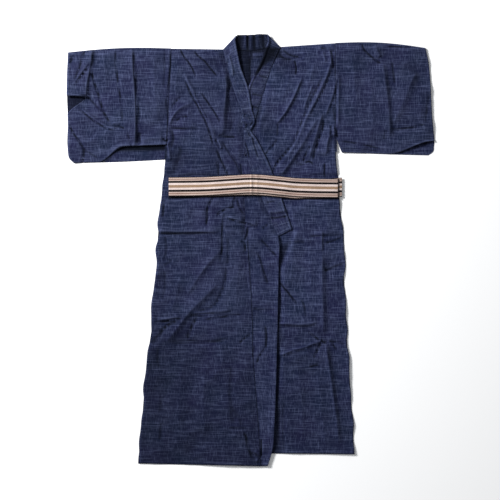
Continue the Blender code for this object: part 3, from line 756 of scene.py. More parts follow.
def section_grid(table, first, last, cells, step=STEP, reach_first=0.0, reach_last=0.0, crowd_end=True):
    """Plan of a piece between two edges of a table. A reach runs it on past an edge, under the next."""
    rows = in_metres(table)
    ends = np.hstack((rows[:, first:first + 2], rows[:, last:last + 2]))
    stops = lengths_along((ends[:, :2] + ends[:, 2:]) / 2)
    whole = stops[-1]
    at = np.linspace(0.0, whole, round(whole / step) + 1)
    if crowd_end:
        at = np.concatenate((at[:-1], whole - EDGE_PLACES[:-1][::-1]))
    ends = curve_through(stops, ends, at)
    way = ends[:, 2:] - ends[:, :2]
    length = np.hypot(way[:, 0], way[:, 1])[:, None]
    way = way / length
    if callable(reach_first):
        reach_first = reach_first(ends[:, 1:2])
    start = ends[:, :2] - way * reach_first
    length = length + reach_first + reach_last
    across = places_across(length, cells)
    x = start[:, :1] + way[:, :1] * across
    y = start[:, 1:] + way[:, 1:] * across
    return SimpleNamespace(x=x, y=y, share=across / length, from_first=across - reach_first,
                           from_last=length - reach_last - across,
                           along=np.broadcast_to(at[:, None], x.shape),
                           to_end=np.broadcast_to(whole - at[:, None], x.shape))


def crest(x, y, z):
    """How sharply a grid bends, positive on a ridge and negative in a furrow, -1 to 1."""
    bend = np.zeros_like(z)
    for axis in (0, 1):
        gap = np.hypot(np.gradient(x, axis=axis), np.gradient(y, axis=axis)) + CREST_GAP
        bend -= np.gradient(np.gradient(z, axis=axis) / gap, axis=axis) / gap
    bend = np.clip(bend * CREST_FULL, -1.0, 1.0)
    for axis in (0, 1, 0, 1):
        lines = bend.swapaxes(0, axis)       # the same numbers seen along the other axis
        lines[1:-1] = (lines[:-2] + 2.0 * lines[1:-1] + lines[2:]) / 4.0
    return bend


def turn_over(low, high, outward, steps=6):
    """Rows round a fold between two rows with one plan, low and high. outward is how the fold bulges."""
    radius = (high[:, 2] - low[:, 2]) / 2
    middle = (high[:, 2] + low[:, 2]) / 2
    rows = []
    for k in range(steps + 1):
        angle = math.pi * (k / steps - 0.5)
        row = low.copy()
        row[:, :2] += np.outer(radius * (math.cos(angle) - 1.0), outward)
        row[:, 2] = middle + radius * math.sin(angle)
        rows.append(row)
    return np.array(rows)


# %% Sheets of cloth
UNDER_STEP = 4               # the side that is hidden has a point for every four of the one that shows
SHARP_EDGE = math.radians(80)        # faces that meet at more than this aren't shaded smooth
ROBE = bpy.data.collections.new("yukata")
SCENE.collection.children.link(ROBE)


def add_object(name, data, collection=SCENE.collection):
    """A new object in a collection."""
    made = bpy.data.objects.new(name, data)
    collection.objects.link(made)
    return made


def flat_coordinates(points, straight=False):
    """Cloth coordinates in metres: across and along a grid. Straight cloth runs across with X."""
    along = np.linalg.norm(np.diff(points, axis=0), axis=2).mean(axis=1)
    v = np.concatenate(([0.0], np.cumsum(along)))
    if straight:
        u = points[..., 0]
    else:
        across = np.linalg.norm(np.diff(points[..., :2], axis=1), axis=2)
        u = np.hstack((np.zeros((len(points), 1)), np.cumsum(across, axis=1)))
    return np.dstack((u, np.broadcast_to(v[:, None], u.shape)))


def coarse(count, step, keep=()):
    """Every so many of a count of rows, with both ends and those to keep."""
    return np.array(sorted(set(range(0, count, step)) | {count - 1} | set(keep)))


def patch(rows, columns, row, column, width):
    """Corners of one coarse face; along the sheet's edges it takes in all the fine points."""
    low, high = rows[row], rows[row + 1]
    left, right = columns[column], columns[column + 1]
    across_low = range(left, right) if low == 0 else (left,)
    up_right = range(low, high) if right == columns[-1] else (low,)
    across_high = range(right, left, -1) if high == rows[-1] else (right,)
    down_left = range(high, low, -1) if left == 0 else (high,)
    return ([low * width + k for k in across_low] + [k * width + right for k in up_right]
            + [high * width + k for k in across_high] + [k * width + left for k in down_left])


def cloth_sheet(name, points, wall, flat=None, shade=None, keep=(), under_step=UNDER_STEP):
    """A wall of cloth through a grid of points: a fine side that shows and a coarser one under it."""
    count, columns = points.shape[:2]
    flat = flat_coordinates(points) if flat is None else flat
    bend = crest(*np.moveaxis(points, 2, 0))
    # the painted shade is taken off the crest value; below 0 it is wear and painted highlight, which adds
    # to it
    if shade is not None:
        bend = np.where(bend > 0.0, bend * (1.0 - np.clip(shade, 0.0, 1.0)), bend)
        bend = np.clip(bend - shade, -1.0, 1.0)
    normals = np.cross(np.gradient(points, axis=1), np.gradient(points, axis=0))
    if normals[-1, :, 2].sum() < 0.0:
        points, flat, bend, normals = points[:, ::-1], flat[:, ::-1], bend[:, ::-1], -normals[:, ::-1]
    normals = normals / np.linalg.norm(normals, axis=2)[..., None]
    upper = (points + normals * wall / 2).reshape(-1, 3)
    lower = (points - normals * wall / 2).reshape(-1, 3)
    corner = (np.arange(count - 1)[:, None] * columns + np.arange(columns - 1)).ravel()
    faces = np.column_stack((corner, corner + 1, corner + columns + 1, corner + columns)).tolist()
    rows, places = coarse(count, under_step, keep), coarse(columns, under_step)
    under = [patch(rows, places, row, place, columns) for row in range(len(rows) - 1)
             for place in range(len(places) - 1)]
    used = np.unique(np.concatenate([np.array(face) for face in under]))
    number = np.full(count * columns, -1)
    number[used] = len(upper) + np.arange(len(used))
    faces += [number[face[::-1]].tolist() for face in under]
    border = (list(range(columns)) + [k * columns + columns - 1 for k in range(1, count)]
              + [(count - 1) * columns + k for k in range(columns - 2, -1, -1)]
              + [k * columns for k in range(count - 2, 0, -1)])
    for here, after in zip(border, border[1:] + border[:1]):
        faces.append([here, int(number[here]), int(number[after]), after])
    grid_index = np.concatenate((np.arange(count * columns), used))
    mesh = bpy.data.meshes.new(name)
    mesh.from_pydata(np.concatenate((upper, lower[used])), [], faces)
    at = np.empty(len(mesh.loops), dtype=np.int32)
    mesh.loops.foreach_get("vertex_index", at)
    layer = mesh.uv_layers.new(name="cloth")
    layer.data.foreach_set("uv", flat.reshape(-1, 2)[grid_index[at]].ravel().astype(np.float32))
    values = bend.ravel()[grid_index].astype(np.float32)
    mesh.attributes.new("crest", "FLOAT", "POINT").data.foreach_set("value", values)
    mesh.shade_smooth()
    mesh.set_sharp_from_angle(angle=SHARP_EDGE)
    triangles = sum(len(face.vertices) - 2 for face in mesh.polygons)
    print(f"{name}: {triangles} triangles, highest point {points[..., 2].max() / MM:.1f} mm")
    return add_object(name, mesh, ROBE)


# %% Lines for stitches
STITCH_LIFT = 0.15 * MM      # a thread's middle lies this much over the cloth
robe_lines = []              # each is a row of points on a sheet that stitches will follow
belt_lines = []


def line_at(points, distance, value, wall):
    """The line on a grid where the distance from an edge has a value: one point for each row."""
    line = []
    for row, away in zip(points, distance):
        order = np.argsort(away)
        line.append([np.interp(value, away[order], row[order, axis]) for axis in range(3)])
    return np.array(line) + (0.0, 0.0, wall / 2 + STITCH_LIFT)


# %% [markdown]
# ## The body lengths
# Each is one cloth: the back half is flat on the floor, the front half has the creases, and a tight turn at
# the shoulder joins them. Below the armhole the side of the front rolls down over the back's edge. At the
# armhole, the panel seam and the collar seam one cloth is tucked under the other, as a pressed seam is.

# %% Edge profiles
LAP_EDGE = (0.35 * MM, 1.4 * MM)     # a lap's very edge is rounded off by the first, over the second
HEM_FOLD = 11 * MM           # a hem's turned-up allowance ends this far from the edge
HEM_STITCH = 9 * MM          # and is stitched down this far from it
HEM_THICK = 0.5 * MM         # and adds this much to the cloth
HEM_FOOT = 1.4 * MM          # height that the ends of the fronts roll down to


def tucked(distance):
    """The lower side of a seam: down by the seam step, near the edge."""
    return -SEAM_STEP * fade(distance, 9 * MM)


def lapped(distance):
    """The upper side of a seam: up by the seam step, and rounded off at the very edge."""
    rounding, width = LAP_EDGE
    return SEAM_STEP * fade(distance, 12 * MM) - rounding * fade(distance, width)


def hemmed(distance):
    """A hem: thicker than the cloth, with a groove where its allowance ends and a rounded edge."""
    allowance = fade(distance - 0.8 * HEM_FOLD, 0.5 * HEM_FOLD)
    groove = bell(distance - 1.15 * HEM_FOLD, 2.2 * MM)
    return HEM_THICK * (allowance - groove - fade(distance, 1.6 * MM))


def rolled_down(z, distance, foot, width=4.5 * MM):
    """An edge that rounds down to the height foot."""
    share = np.clip(distance / width, 0.0, 1.0)
    return foot + (z - foot) * np.sqrt(1.0 - (1.0 - share) ** 2)


def rolled_hem(z, distance):
    """The lower end of a front, hemmed and rolled down."""
    return rolled_down(z + hemmed(distance), distance, HEM_FOOT, width=8 * MM)


def collar_end_y(table, hand):
    """Y of the collar band's end on a front, at its seam."""
    return table[COLLAR_END[hand]][PANEL_EDGE + 1] * MM


def pressed_at_collar(z, grid, hand, at_collar):
    """The cloth of a front, pressed flat beside the collar's seam."""
    return z + (level(grid.x, hand) - z) * at_collar * fade(grid.from_last - 3 * MM, 20 * MM)


def folded(under, under_dark, upper, upper_dark):
    """One cloth from its back half over a fold to its front half: points, darks, the fold, rows to keep."""
    low = upper[0].copy()
    low[:, 2] = BACK
    turn = turn_over(low, upper[0], (0.0, 1.0))
    points = np.concatenate((under, turn, upper[1:]))
    dark = np.concatenate((under_dark, np.zeros(turn.shape[:2]), upper_dark[1:]))
    return points, dark, turn, range(len(under) - 1, len(under) + len(turn) + 1)


# %% Back halves of the body lengths
BACK_STEP = 26 * MM
BACK_NECK = 560 * MM         # above this height the back shows inside the collar, so it is made finer
BACK_SHOWS = (110 * MM, 80 * MM)     # and within these distances of the middle, less beyond the second
BACK_INSET = 1.5 * MM        # below the armhole the back is this much narrower than the front on it
BACK_PUFF = 0.6 * MM
BACK_UNEVEN = 0.25 * MM
CENTRE_STEP = 0.8 * MM       # step of the centre-back seam
INSIDE_DARK = (0.42, 0.82)   # painted shade of the back inside the collar: in the open part, beside the collar


def back_rows(table, hand, columns):
    """The back half from hem to neck, as points in space, and its painted shade."""
    sides = in_metres(table)[::-1, :2]
    sides[-1] = sides[-1] * 0.85 + sides[-2] * 0.15
    stops = lengths_along(sides)
    fine = np.interp(BACK_NECK, sides[:, 1], stops)
    at = np.concatenate((np.arange(0.0, fine, BACK_STEP), np.arange(fine, stops[-1], STEP), stops[-1:]))
    sides = curve_through(stops, sides, at)
    side_y = sides[:, 1]
    low, high = side_y[0], side_y[-1]
    centre_y = side_y + (CENTRE_HEM_Y - low) * smooth(1.0 - 4.0 * (side_y - low) / (high - low))
    centre_y = centre_y + (CENTRE_NECK_Y - high) * between(side_y, high - 80 * MM, high)
    inset = BACK_INSET * fade(side_y - ARMHOLE_END[hand], 10 * MM)
    share = np.linspace(0.0, 1.0, columns)
    centre_x = TUCK if hand > 0 else 0.0
    x = (sides[:, :1] - hand * inset[:, None]) * (1.0 - share) - centre_x * share
    y = sides[:, 1:] * (1.0 - share) + centre_y[:, None] * share
    below_neck = CENTRE_NECK_Y - y
    inside = between(y, BACK_NECK, BACK_NECK + 40 * MM) * between(np.abs(x), *BACK_SHOWS)
    added, dark = relief(x, y, BACK_CREASES)
    added = added + BACK_UNEVEN * undulation(x, y, 5, 40 * MM) + BACK_PUFF
    z = BACK + inside * np.maximum(added, 0.0) * between(below_neck, 4 * MM, 16 * MM)
    if hand < 0:
        z = z + inside * CENTRE_STEP * between(x, -9 * MM, -1 * MM)
    opened, beside = INSIDE_DARK
    deep = 1.0 - between(x, -8 * MM, 4 * MM) * between(below_neck, 12 * MM, 20 * MM)
    return np.dstack((x, y, z)), dark + opened + (beside - opened) * deep


# %% Body lengths
BODY_CELLS = 136
SIDE_SWAY = 2.1 * MM         # how much a side seam strays from its straight run
SWAY_LENGTH = 90 * MM        # in waves of about this length
SWAY_DEPTH = 45 * MM         # and the cloth follows it as far in as this
SEAM_DARK = 0.65             # painted shade along a seam's line
SEAM_LINE = 4.2 * MM         # and its width
# painted shade along the rolled hem
HEM_DARK = 0.45
HEM_LINE = 9 * MM
SIDE_DARK = 0.4              # the sides roll away from the light
LOW_DARK = {-1: 0.38, 1: 0.24}       # painted shade: the fronts' cloth is this much darker towards the hem
LOW = (-120 * MM, -420 * MM)         # from the first of these heights down to the second
# painted shadow: the left front is dark beside the panel that lies on it. columns: y, how far
LAP_SHADOW = [(-720, 26), (-520, 26), (-470, 9), (-345, 9), (-325, 20), (-235, 18), (-215, 8), (30, 8)]
LAP_DARK = 0.62
LAP_TOP = (30 * MM, 10 * MM)         # and that dark begins between these heights
NECK_DARK = 0.9              # painted shade: the left front is dark in the corner beside the neck
NECK_CORNER = in_metres(((664, 680), (116, 98)))     # which is above these heights and left of these places
COLLAR_LAP_DARK = 0.6        # and painted shadow beside its own collar, where the other one crosses it
COLLAR_LAP = in_metres(((400, 430), (512, 500)))     # which is between these heights


def body_length(name, table, hand):
    """One cloth from the back hem over the shoulder to the front hem."""
    armhole = ARMHOLE_END[hand]

    def under_sleeve_at(y):
        """1 where the sleeve is sewn on, 0 below it."""
        return between(y, armhole - 2 * MM, armhole + 4 * MM)

    grid = section_grid(table, SIDE, INNER_SEAM, BODY_CELLS,
                        reach_first=lambda side_y: TUCK * under_sleeve_at(side_y), reach_last=TUCK)
    sway = SIDE_SWAY * undulation(np.zeros_like(grid.y), grid.y, 50 + hand, SWAY_LENGTH)
    clear_of_ends = between(armhole - grid.y, 10 * MM, 60 * MM) * smooth(grid.to_end / (60 * MM))
    grid.x = grid.x + sway * fade(grid.from_first, SWAY_DEPTH) * clear_of_ends
    z, dark = lie(grid.x, grid.y, hand)
    end_y = collar_end_y(table, hand)
    at_collar = between(grid.y, end_y - 10 * MM, end_y + 10 * MM)
    z = pressed_at_collar(z, grid, hand, at_collar)
    panel_step = lapped(grid.from_last + TUCK) if hand < 0 else tucked(grid.from_last)
    z = z + at_collar * tucked(grid.from_last) + (1.0 - at_collar) * panel_step
    under_sleeve = under_sleeve_at(grid.y)
    z = z + under_sleeve * tucked(grid.from_first)
    z = z + (1.0 - under_sleeve) * (rolled_down(z, grid.from_first, BACK) - z)
    z = rolled_hem(z, grid.to_end)
    # painted shade along the armhole seam, on the sides, along the hem and towards the hem
    dark = darken(dark, SEAM_DARK * under_sleeve * bell(grid.from_first, SEAM_LINE),
                  SIDE_DARK * (1.0 - under_sleeve) * fade(grid.from_first, 8 * MM),
                  HEM_DARK * fade(grid.to_end, HEM_LINE), LOW_DARK[hand] * between(grid.y, *LOW))
    # painted shadow beside the panel and beside the collar, and painted shade in the neck corner
    if hand > 0:
        away = grid.x - cover_edge(grid.y)
        reach = np.interp(grid.y, *in_metres(LAP_SHADOW).T)
        beside_panel = between(grid.y, *LAP_TOP) * (away > -20 * MM) * bell(np.maximum(away, 0.0), reach)
        corner = between(grid.y, *NECK_CORNER[0]) * between(grid.x, *NECK_CORNER[1])
        beside_collar = window(grid.y, *COLLAR_LAP) * fade(grid.from_last, 20 * MM)
        dark = darken(dark, LAP_DARK * beside_panel, NECK_DARK * corner, COLLAR_LAP_DARK * beside_collar)
    front = np.dstack((grid.x, grid.y, z))
    robe_lines.append(line_at(front.swapaxes(0, 1)[6:-6], grid.to_end.T[6:-6], HEM_STITCH, WALL))
    back, back_dark = back_rows(table, hand, front.shape[1])
    points, shade, _, keep = folded(back, back_dark, front, dark)
    flat = flat_coordinates(points, straight=True)
    return cloth_sheet(name, points, WALL, flat=flat, shade=shade, keep=keep)


body_right = body_length("body_right_cloth", RIGHT_FRONT, -1)
body_left = body_length("body_left_cloth", LEFT_FRONT, 1)

# %% [markdown]
# ## The overlap panels
# A narrow panel widens each front so that the two cross. It starts in a point beside the collar. The right
# one shows down to the hem; the left one is hidden under it, so its points are few.

# %% Overlap panels
PANEL_POINT = 0.2            # the point lies this share of the way back to the row before the panel's first
PANEL_SEAM_DARK = 0.85       # painted shade along the seam's line
PANEL_SEAM_TOP = 0.3         # share of it that shows higher up
PANEL_SEAM_CHANGE = (80 * MM, 10 * MM)       # and it changes between these heights
PANEL_LIP = (2.6 * MM, 26 * MM)      # the right one's free edge stands up by the first, over the second


def overlap_panel(name, table, hand, cells, step):
    """The panel sewn to a front's inner edge."""
    start = next(k for k, row in enumerate(table) if row[PANEL_EDGE] != row[INNER_SEAM])
    point = np.array(table[start - 1]) * PANEL_POINT + np.array(table[start]) * (1.0 - PANEL_POINT)
    seam = TUCK if hand < 0 else 0.0
    grid = section_grid([point] + table[start:], INNER_SEAM, PANEL_EDGE, cells, step=step, reach_first=seam)
    z, dark = lie(grid.x, grid.y, hand)
    z = z + (tucked(grid.from_first) if hand < 0 else lapped(grid.from_first))
    end_y = collar_end_y(table, hand)
    at_collar = between(grid.y, end_y - 4 * MM, end_y + 10 * MM)
    z = pressed_at_collar(z, grid, hand, at_collar)
    free = 1.0 - at_collar
    z = z + at_collar * tucked(grid.from_last) + free * hemmed(grid.from_last)
    if hand < 0:
        lip, width = PANEL_LIP
        z = z + free * lip * fade(grid.from_last, width)
    z = rolled_hem(z, grid.to_end)
    # painted shade along the seam and the hem
    seam_dark = PANEL_SEAM_TOP + (1.0 - PANEL_SEAM_TOP) * between(grid.y, *PANEL_SEAM_CHANGE)
    dark = darken(dark, PANEL_SEAM_DARK * seam_dark * bell(grid.from_first - seam, SEAM_LINE),
                  HEM_DARK * fade(grid.to_end, HEM_LINE))
    points = np.dstack((grid.x, grid.y, z))
    if hand < 0:
        robe_lines.append(line_at(points.swapaxes(0, 1)[3:-4], grid.to_end.T[3:-4], HEM_STITCH, WALL))
        loose = grid.y[:, -1] < end_y - 14 * MM
        robe_lines.append(line_at(points[loose][:-5], grid.from_last[loose][:-5], HEM_STITCH, WALL))
    return cloth_sheet(name, points, WALL, shade=dark)


okumi_right = overlap_panel("okumi_right_cloth", RIGHT_FRONT, -1, 36, STEP)
okumi_left = overlap_panel("okumi_left_cloth", LEFT_FRONT, 1, 8, 12 * MM)

# %% [markdown]
# ## The sleeves
# A sleeve is one cloth folded along its top. Here the front half is drawn up a little, so a strip of the
# back half shows below it, and the front's lower edge stands up and casts a shadow on that strip, which is
# also painted dark as shade. On the right sleeve the cuff gapes: its edge is pushed inwards under the
# turned part, and the inside of the gape is painted dark as shade.

# %% Sleeves
SLEEVE_CELLS = 130
SLEEVE_STEP = 2.6 * MM
SLEEVE_SHOWS = 80 * MM       # height of the lower part of the back half that is made fine
DARK_REACH = {-1: 19 * MM, 1: 9 * MM}    # no light gets between the halves until this far out
DARK_EDGE = 6 * MM           # and that dark fades over this distance
DRAWN_UP = 2 * MM            # where the front is drawn up by less, the halves lie close
# painted shade on the back half's strip under the drawn-up front
BETWEEN_DARK = 1.2
# painted shade inside the gaping cuff
CUFF_DARK = 0.8
CUFF_SHARE = 0.3             # share of the way to the armhole in which the cuff gapes
LIP = (5.0 * MM, 26 * MM)    # the drawn-up edge stands up by the first, over the second
CUFF_FOOT = 1.5 * MM         # height that the cuff rolls down to
CLOSED_FOOT = 0.9 * MM       # height that the lower edge rolls down to where it isn't drawn up
DRAWN_FOOT = 3.8 * MM        # and where it is


def bowed(table, grid):
    """How far a sleeve's half is bowed up at each place, and how far each of its rows is drawn up."""
    rows = in_metres(table)
    stops = lengths_along((rows[:, 0:2] + rows[:, 2:4]) / 2)
    bow, drawn_up = curve_through(stops, rows[:, 4:6], grid.along[:, 0]).T[..., None]
    return bow * np.sin(math.pi * grid.share), drawn_up


def sleeve(name, front, back, drawn, hand):
    """One cloth folded along the sleeve's top, its front half on its back half."""
    grid = section_grid(front, 0, 2, SLEEVE_CELLS, step=SLEEVE_STEP, reach_last=-0.15 * MM)
    bow, drawn_up = bowed(front, grid)
    open_share = between(grid.share, *drawn)
    grid.y = grid.y + bow + drawn_up * open_share
    notch_low, notch_high, depth = CUFF_NOTCH
    if hand < 0:
        notch = depth * between(grid.y[:, :1], notch_low, notch_high) * (grid.y[:, :1] < notch_high)
        grid.x = grid.x + notch * np.clip(1.0 - grid.share / CUFF_SHARE, 0.0, 1.0) ** 1.5
    z, dark = lie(grid.x, grid.y, hand)
    lip, width = LIP
    z = z + open_share * lip * fade(grid.to_end, width) + lapped(grid.from_last)
    z = z + hemmed(grid.from_first) * 0.6
    z = rolled_down(z, grid.from_first + 1.0 * MM, CUFF_FOOT)
    foot = CLOSED_FOOT + open_share * (DRAWN_FOOT - CLOSED_FOOT)
    z = rolled_down(z, grid.to_end, foot, width=3.5 * MM)
    upper = np.dstack((grid.x, grid.y, z))
    robe_lines.append(line_at(upper[5:-8], grid.from_first[5:-8], HEM_STITCH, WALL))

    lower = section_grid(back, 0, 2, SLEEVE_CELLS, step=SLEEVE_STEP)
    low_y = lower.y + bowed(back, lower)[0]
    puffs = BACK_UNEVEN * undulation(lower.x, low_y, 6, 50 * MM) + 0.35 * MM
    low_z = BACK + np.maximum(puffs, 0.0) * smooth(lower.along / (12 * MM)) * (lower.along < 70 * MM)
    inside = smooth((low_y - grid.y[-1] + DARK_REACH[hand]) / DARK_EDGE)
    shade = np.where(drawn_up[-1] * open_share[-1] > DRAWN_UP, inside, 0.0) * BETWEEN_DARK
    shows = lower.along[:, 0] < SLEEVE_SHOWS
    if hand < 0:
        gaping = between(lower.y, notch_low - 12 * MM, notch_low + 10 * MM) * (lower.share < CUFF_SHARE)
        shade = darken(shade, CUFF_DARK * gaping)
        cuff_y = lower.y[:, 0]
        shows = shows | ((cuff_y > notch_low - 20 * MM) & (cuff_y < notch_high + 20 * MM))
    made = shows | (np.arange(len(shows)) % 9 == 0)      # where it is hidden, one row in nine is enough
    under = np.dstack((lower.x, low_y, low_z))[made][:-2]
    points, dark, turn, keep = folded(under, shade[made][:-2], upper, dark)
    top_y = under[-1, :, 1].max()
    turn_length = lengths_along(turn[:, 0, 1:])
    v = np.concatenate((under[..., 1], np.broadcast_to(top_y + turn_length[:, None], turn.shape[:2]),
                        2 * top_y + turn_length[-1] - upper[1:, :, 1]))
    return cloth_sheet(name, points, WALL, flat=np.dstack((points[..., 0], v)), shade=dark, keep=keep)


sleeve_right = sleeve("sleeve_right_cloth", RIGHT_SLEEVE_FRONT, RIGHT_SLEEVE_BACK, RIGHT_DRAWN, -1)
sleeve_left = sleeve("sleeve_left_cloth", LEFT_SLEEVE_FRONT, LEFT_SLEEVE_BACK, LEFT_DRAWN, 1)

# %% [markdown]
# ## The collar band
# One long band runs from the end on the right front, up round the neck, and down the left front. Its free
# edge is a fold that holds some air, so it has a rolled rim. Towards the neck the free edge stands up, and
# behind the neck the band slopes up from its seam. There, where the under strip turns away at the neck, and
# where the strips cross, the band is painted darker as shade.

# %% Profile and ends of the band
COLLAR_CELLS = 26
COLLAR_STEP = 2.4 * MM
OVER_BAND = 5.3 * MM         # middle of the band on the right front
UNDER_BAND = 2.7 * MM        # middle of the band on the left front
NECK_LIFT = (1.0 * MM, 90 * MM)      # which is higher by the first at the neck, over the second
BACK_BAND = 1.1 * MM         # middle of the band behind the neck, at its seam
BACK_STAND = 10.5 * MM       # how far the free edge stands up behind the neck
# and on the fronts: how far it stands up, and the heights between which it comes to that
STAND = {-1: (8.0 * MM, 560 * MM, 700 * MM), 1: (8.5 * MM, 600 * MM, 700 * MM)}
# columns: height, distance from the free edge and width
RIM = in_metres((1.7, 3.6, 3.2))
GROOVE = in_metres((-0.7, 10.5, 2.8))
RIM_EDGE = (0.9 * MM, 1.5 * MM)      # its very edge is rounded off by the first, over the second
LOWEST = 1.6 * MM            # where furrows cross, the band sinks no lower than this
BAND_STITCH = 4 * MM         # the band is stitched down this far from its seam


def band_profile(from_free, from_seam, lap):
    """Cross-section of the band: a rolled rim, a groove inside it, and a lap so high over the seam."""
    rim = sum(height * bell(from_free - place, width) for height, place, width in (RIM, GROOVE))
    rounding, width = RIM_EDGE
    return rim - rounding * fade(from_free, width) + lap * lapped(from_seam)


def band_height(y, hand):
    """Middle of the band on a front."""
    if hand < 0:
        return np.full_like(y, OVER_BAND)
    lift, length = NECK_LIFT
    return UNDER_BAND + lift * fade(LEFT_FRONT[0][INNER_SEAM + 1] * MM - y, length)


def band_strip(table, hand, creases, seed, lap):
    """The band on one front, from the neck down: points, how dark, and distance from the free edge."""
    grid = section_grid(table[:COLLAR_END[hand] + 1], PANEL_EDGE, FREE, COLLAR_CELLS, step=COLLAR_STEP)
    added, dark = relief(grid.x, grid.y, creases)
    added = added + 0.45 * MM * undulation(grid.x, grid.y, seed, 60 * MM)
    added = added + 0.20 * MM * undulation(grid.x, grid.y, seed + 1, 20 * MM) + 0.3 * MM
    profile = added + band_profile(grid.from_last, grid.from_first, lap)
    rise, low, high = STAND[hand]
    z = band_height(grid.y, hand) + calm_at_belt(grid.y) * profile
    z = z + rise * between(grid.y, low, high) * grid.share ** 2
    z = np.maximum(z - 0.6 * MM * fade(grid.to_end, 1.6 * MM), LOWEST)
    points = np.dstack((grid.x, grid.y, z))
    robe_lines.append(line_at(points[3:-3], grid.from_first[3:-3], BAND_STITCH, BAND_WALL))
    return points, dark, grid.from_last


def back_height(share):
    """Middle of the band behind the neck, at a share of the way from its seam to its free edge."""
    return BACK_BAND + BACK_STAND * share ** 1.5


def band_turn(line, strip_row, outward):
    """Rows round a turn of the band, from the band behind the neck up to a front's first row."""
    seam, free = in_metres(line).reshape(2, 2)
    share = np.linspace(0.0, 1.0, strip_row.shape[0])[:, None]
    plan = seam * (1.0 - share) + free * share
    low = np.hstack((plan, back_height(share)))
    high = np.hstack((plan, np.maximum(strip_row[:, 2:], low[:, 2:] + 0.3 * MM)))
    return turn_over(low, high, outward)


# %% Collar band
BACK_SHADE = 0.62            # how much darker the band is behind the neck, facing away from the light
CORNER_SHADE = 0.5           # and how much more in the right corner
SEAM_SHADE = 0.6             # and along its seam
CROSSING_DARK = 0.30         # painted shade: how much darker the over strip is where it rounds the crossing
CROSSING = in_metres(((360, 420), (520, 460)))       # between these heights
UNDER_DARK = 0.26            # and painted shadow: how much darker the under strip is, next to the over strip
# painted shade: how far the under strip is dark from its free edge, where it turns away at the neck.
# columns: y, distance
TURNED_AWAY = [(618, 0), (642, 5), (656, 14), (677, 48), (702, 66)]
TURNED_DARK = 1.25
TURNED = in_metres(((604, 628), (714, 702)))         # between these heights
DIAGONAL = math.sqrt(0.5)

right_strip, right_dark, _ = band_strip(RIGHT_FRONT, -1, OVER_COLLAR_CREASES, 31, 1.0)
left_strip, left_dark, from_free = band_strip(LEFT_FRONT, 1, UNDER_COLLAR_CREASES, 33, -0.8)
# painted shade on the strips: where the over strip rounds the crossing, beside it, and where the under
# strip turns away
right_dark = darken(right_dark, CROSSING_DARK * window(right_strip[..., 1], *CROSSING))
turned_away = np.interp(left_strip[..., 1], *in_metres(TURNED_AWAY).T)
valley = np.clip(1.0 - from_free / (turned_away + 12 * MM), 0.0, 1.0) * window(left_strip[..., 1], *TURNED)
left_dark = darken(left_dark + UNDER_DARK, TURNED_DARK * np.sqrt(valley))

behind = section_grid(BACK_COLLAR, 0, 2, COLLAR_CELLS, step=COLLAR_STEP, crowd_end=False)
sway, behind_dark = relief(behind.x, behind.y, BACK_COLLAR_CREASES)
behind_dark = behind_dark + BACK_SHADE + CORNER_SHADE * between(behind.x, -24 * MM, -42 * MM)
behind_dark = behind_dark + SEAM_SHADE * fade(behind.from_first, 7 * MM)
behind_z = back_height(behind.share) + sway * smooth(behind.share * 3.0)
behind_z = behind_z + band_profile(behind.from_last, behind.from_first, 1.0) * 0.6
behind_rows = np.dstack((behind.x, behind.y, behind_z))

right_turn = band_turn(RIGHT_TURN, right_strip[0], (-DIAGONAL, DIAGONAL))[::-1]
left_turn = band_turn(LEFT_TURN, left_strip[0], (DIAGONAL, DIAGONAL))
points = np.concatenate((right_strip[::-1], right_turn, behind_rows, left_turn, left_strip))
turn_dark = np.zeros(right_turn.shape[:2])
turn_dark[-2:] = BACK_SHADE
shade = np.concatenate((right_dark[::-1], turn_dark, behind_dark, turn_dark[::-1], left_dark))
collar = cloth_sheet("collar_band", points, BAND_WALL, shade=shade,
                     keep=range(len(right_strip) - 1, len(points) - len(left_strip) + 1))

# %% [markdown]
# ## The belt
# The belt is one long woven band, folded to and fro in four layers and laid across the waist. Each layer
# strays a little from the one above, so the inner fold shows at one end and below the lower edge.

# %% Belt
BELT_PITCH = 2.0 * MM        # from one layer's middle to the next
BELT_LAYERS = 4
BELT_TUCK = 10.5 * MM        # how far the inner fold reaches past the top layer's end
BELT_CELLS = 26
BELT_STEP = {False: 12 * MM, True: 2.6 * MM}     # spacing of points, finer on the top layer
FOLD_STEPS = 4
TOP_LIFT = 0.8 * MM          # the top layer lies this much looser
# how far the inner layers stray from the top one. columns: x, y
BELT_STRAY = [(-285, 0), (-160, -3), (0, -7), (160, -6.5), (250, -2), (318, 4.5)]
BELT_CREASES = [
    (1.6, 3, 2, (2, 170), (3, 225), (1, 290)),
    (-1.2, 2, 2, (-3, 170), (-2, 225), (-3, 290)),
    (0.8, 3, 3, (22, 170), (23, 225), (22, 290)),
]


def belt_section(x, z, layer, top):
    """Points across the belt at x, on one of its layers."""
    run = in_metres(BELT_RUN)
    x = np.atleast_1d(x)
    middle, ground = curve_through(run[:, 0], run[:, 1:], np.clip(x, run[0, 0], run[-1, 0])).T
    if not top:
        middle = middle + np.interp(x, *in_metres(BELT_STRAY).T)
    share = np.linspace(0.0, 1.0, BELT_CELLS + 1)
    y = middle[:, None] + (0.5 - share) * BELT_WIDTH
    plan_x = np.broadcast_to(x[:, None], y.shape)
    height = ground[:, None] + BELT_WALL / 2 + BELT_PITCH * layer + z + np.zeros_like(y)
    if top:
        wave = 0.34 * MM * undulation(plan_x, y * 0.6, 41, 70 * MM)
        wave = wave + 0.10 * MM * undulation(plan_x, y, 42, 18 * MM)
        pinch = relief(plan_x, y, BELT_CREASES)[0]
        height = height + TOP_LIFT + np.maximum(wave + pinch, -0.5 * MM)
    return np.dstack((plan_x, y, height))


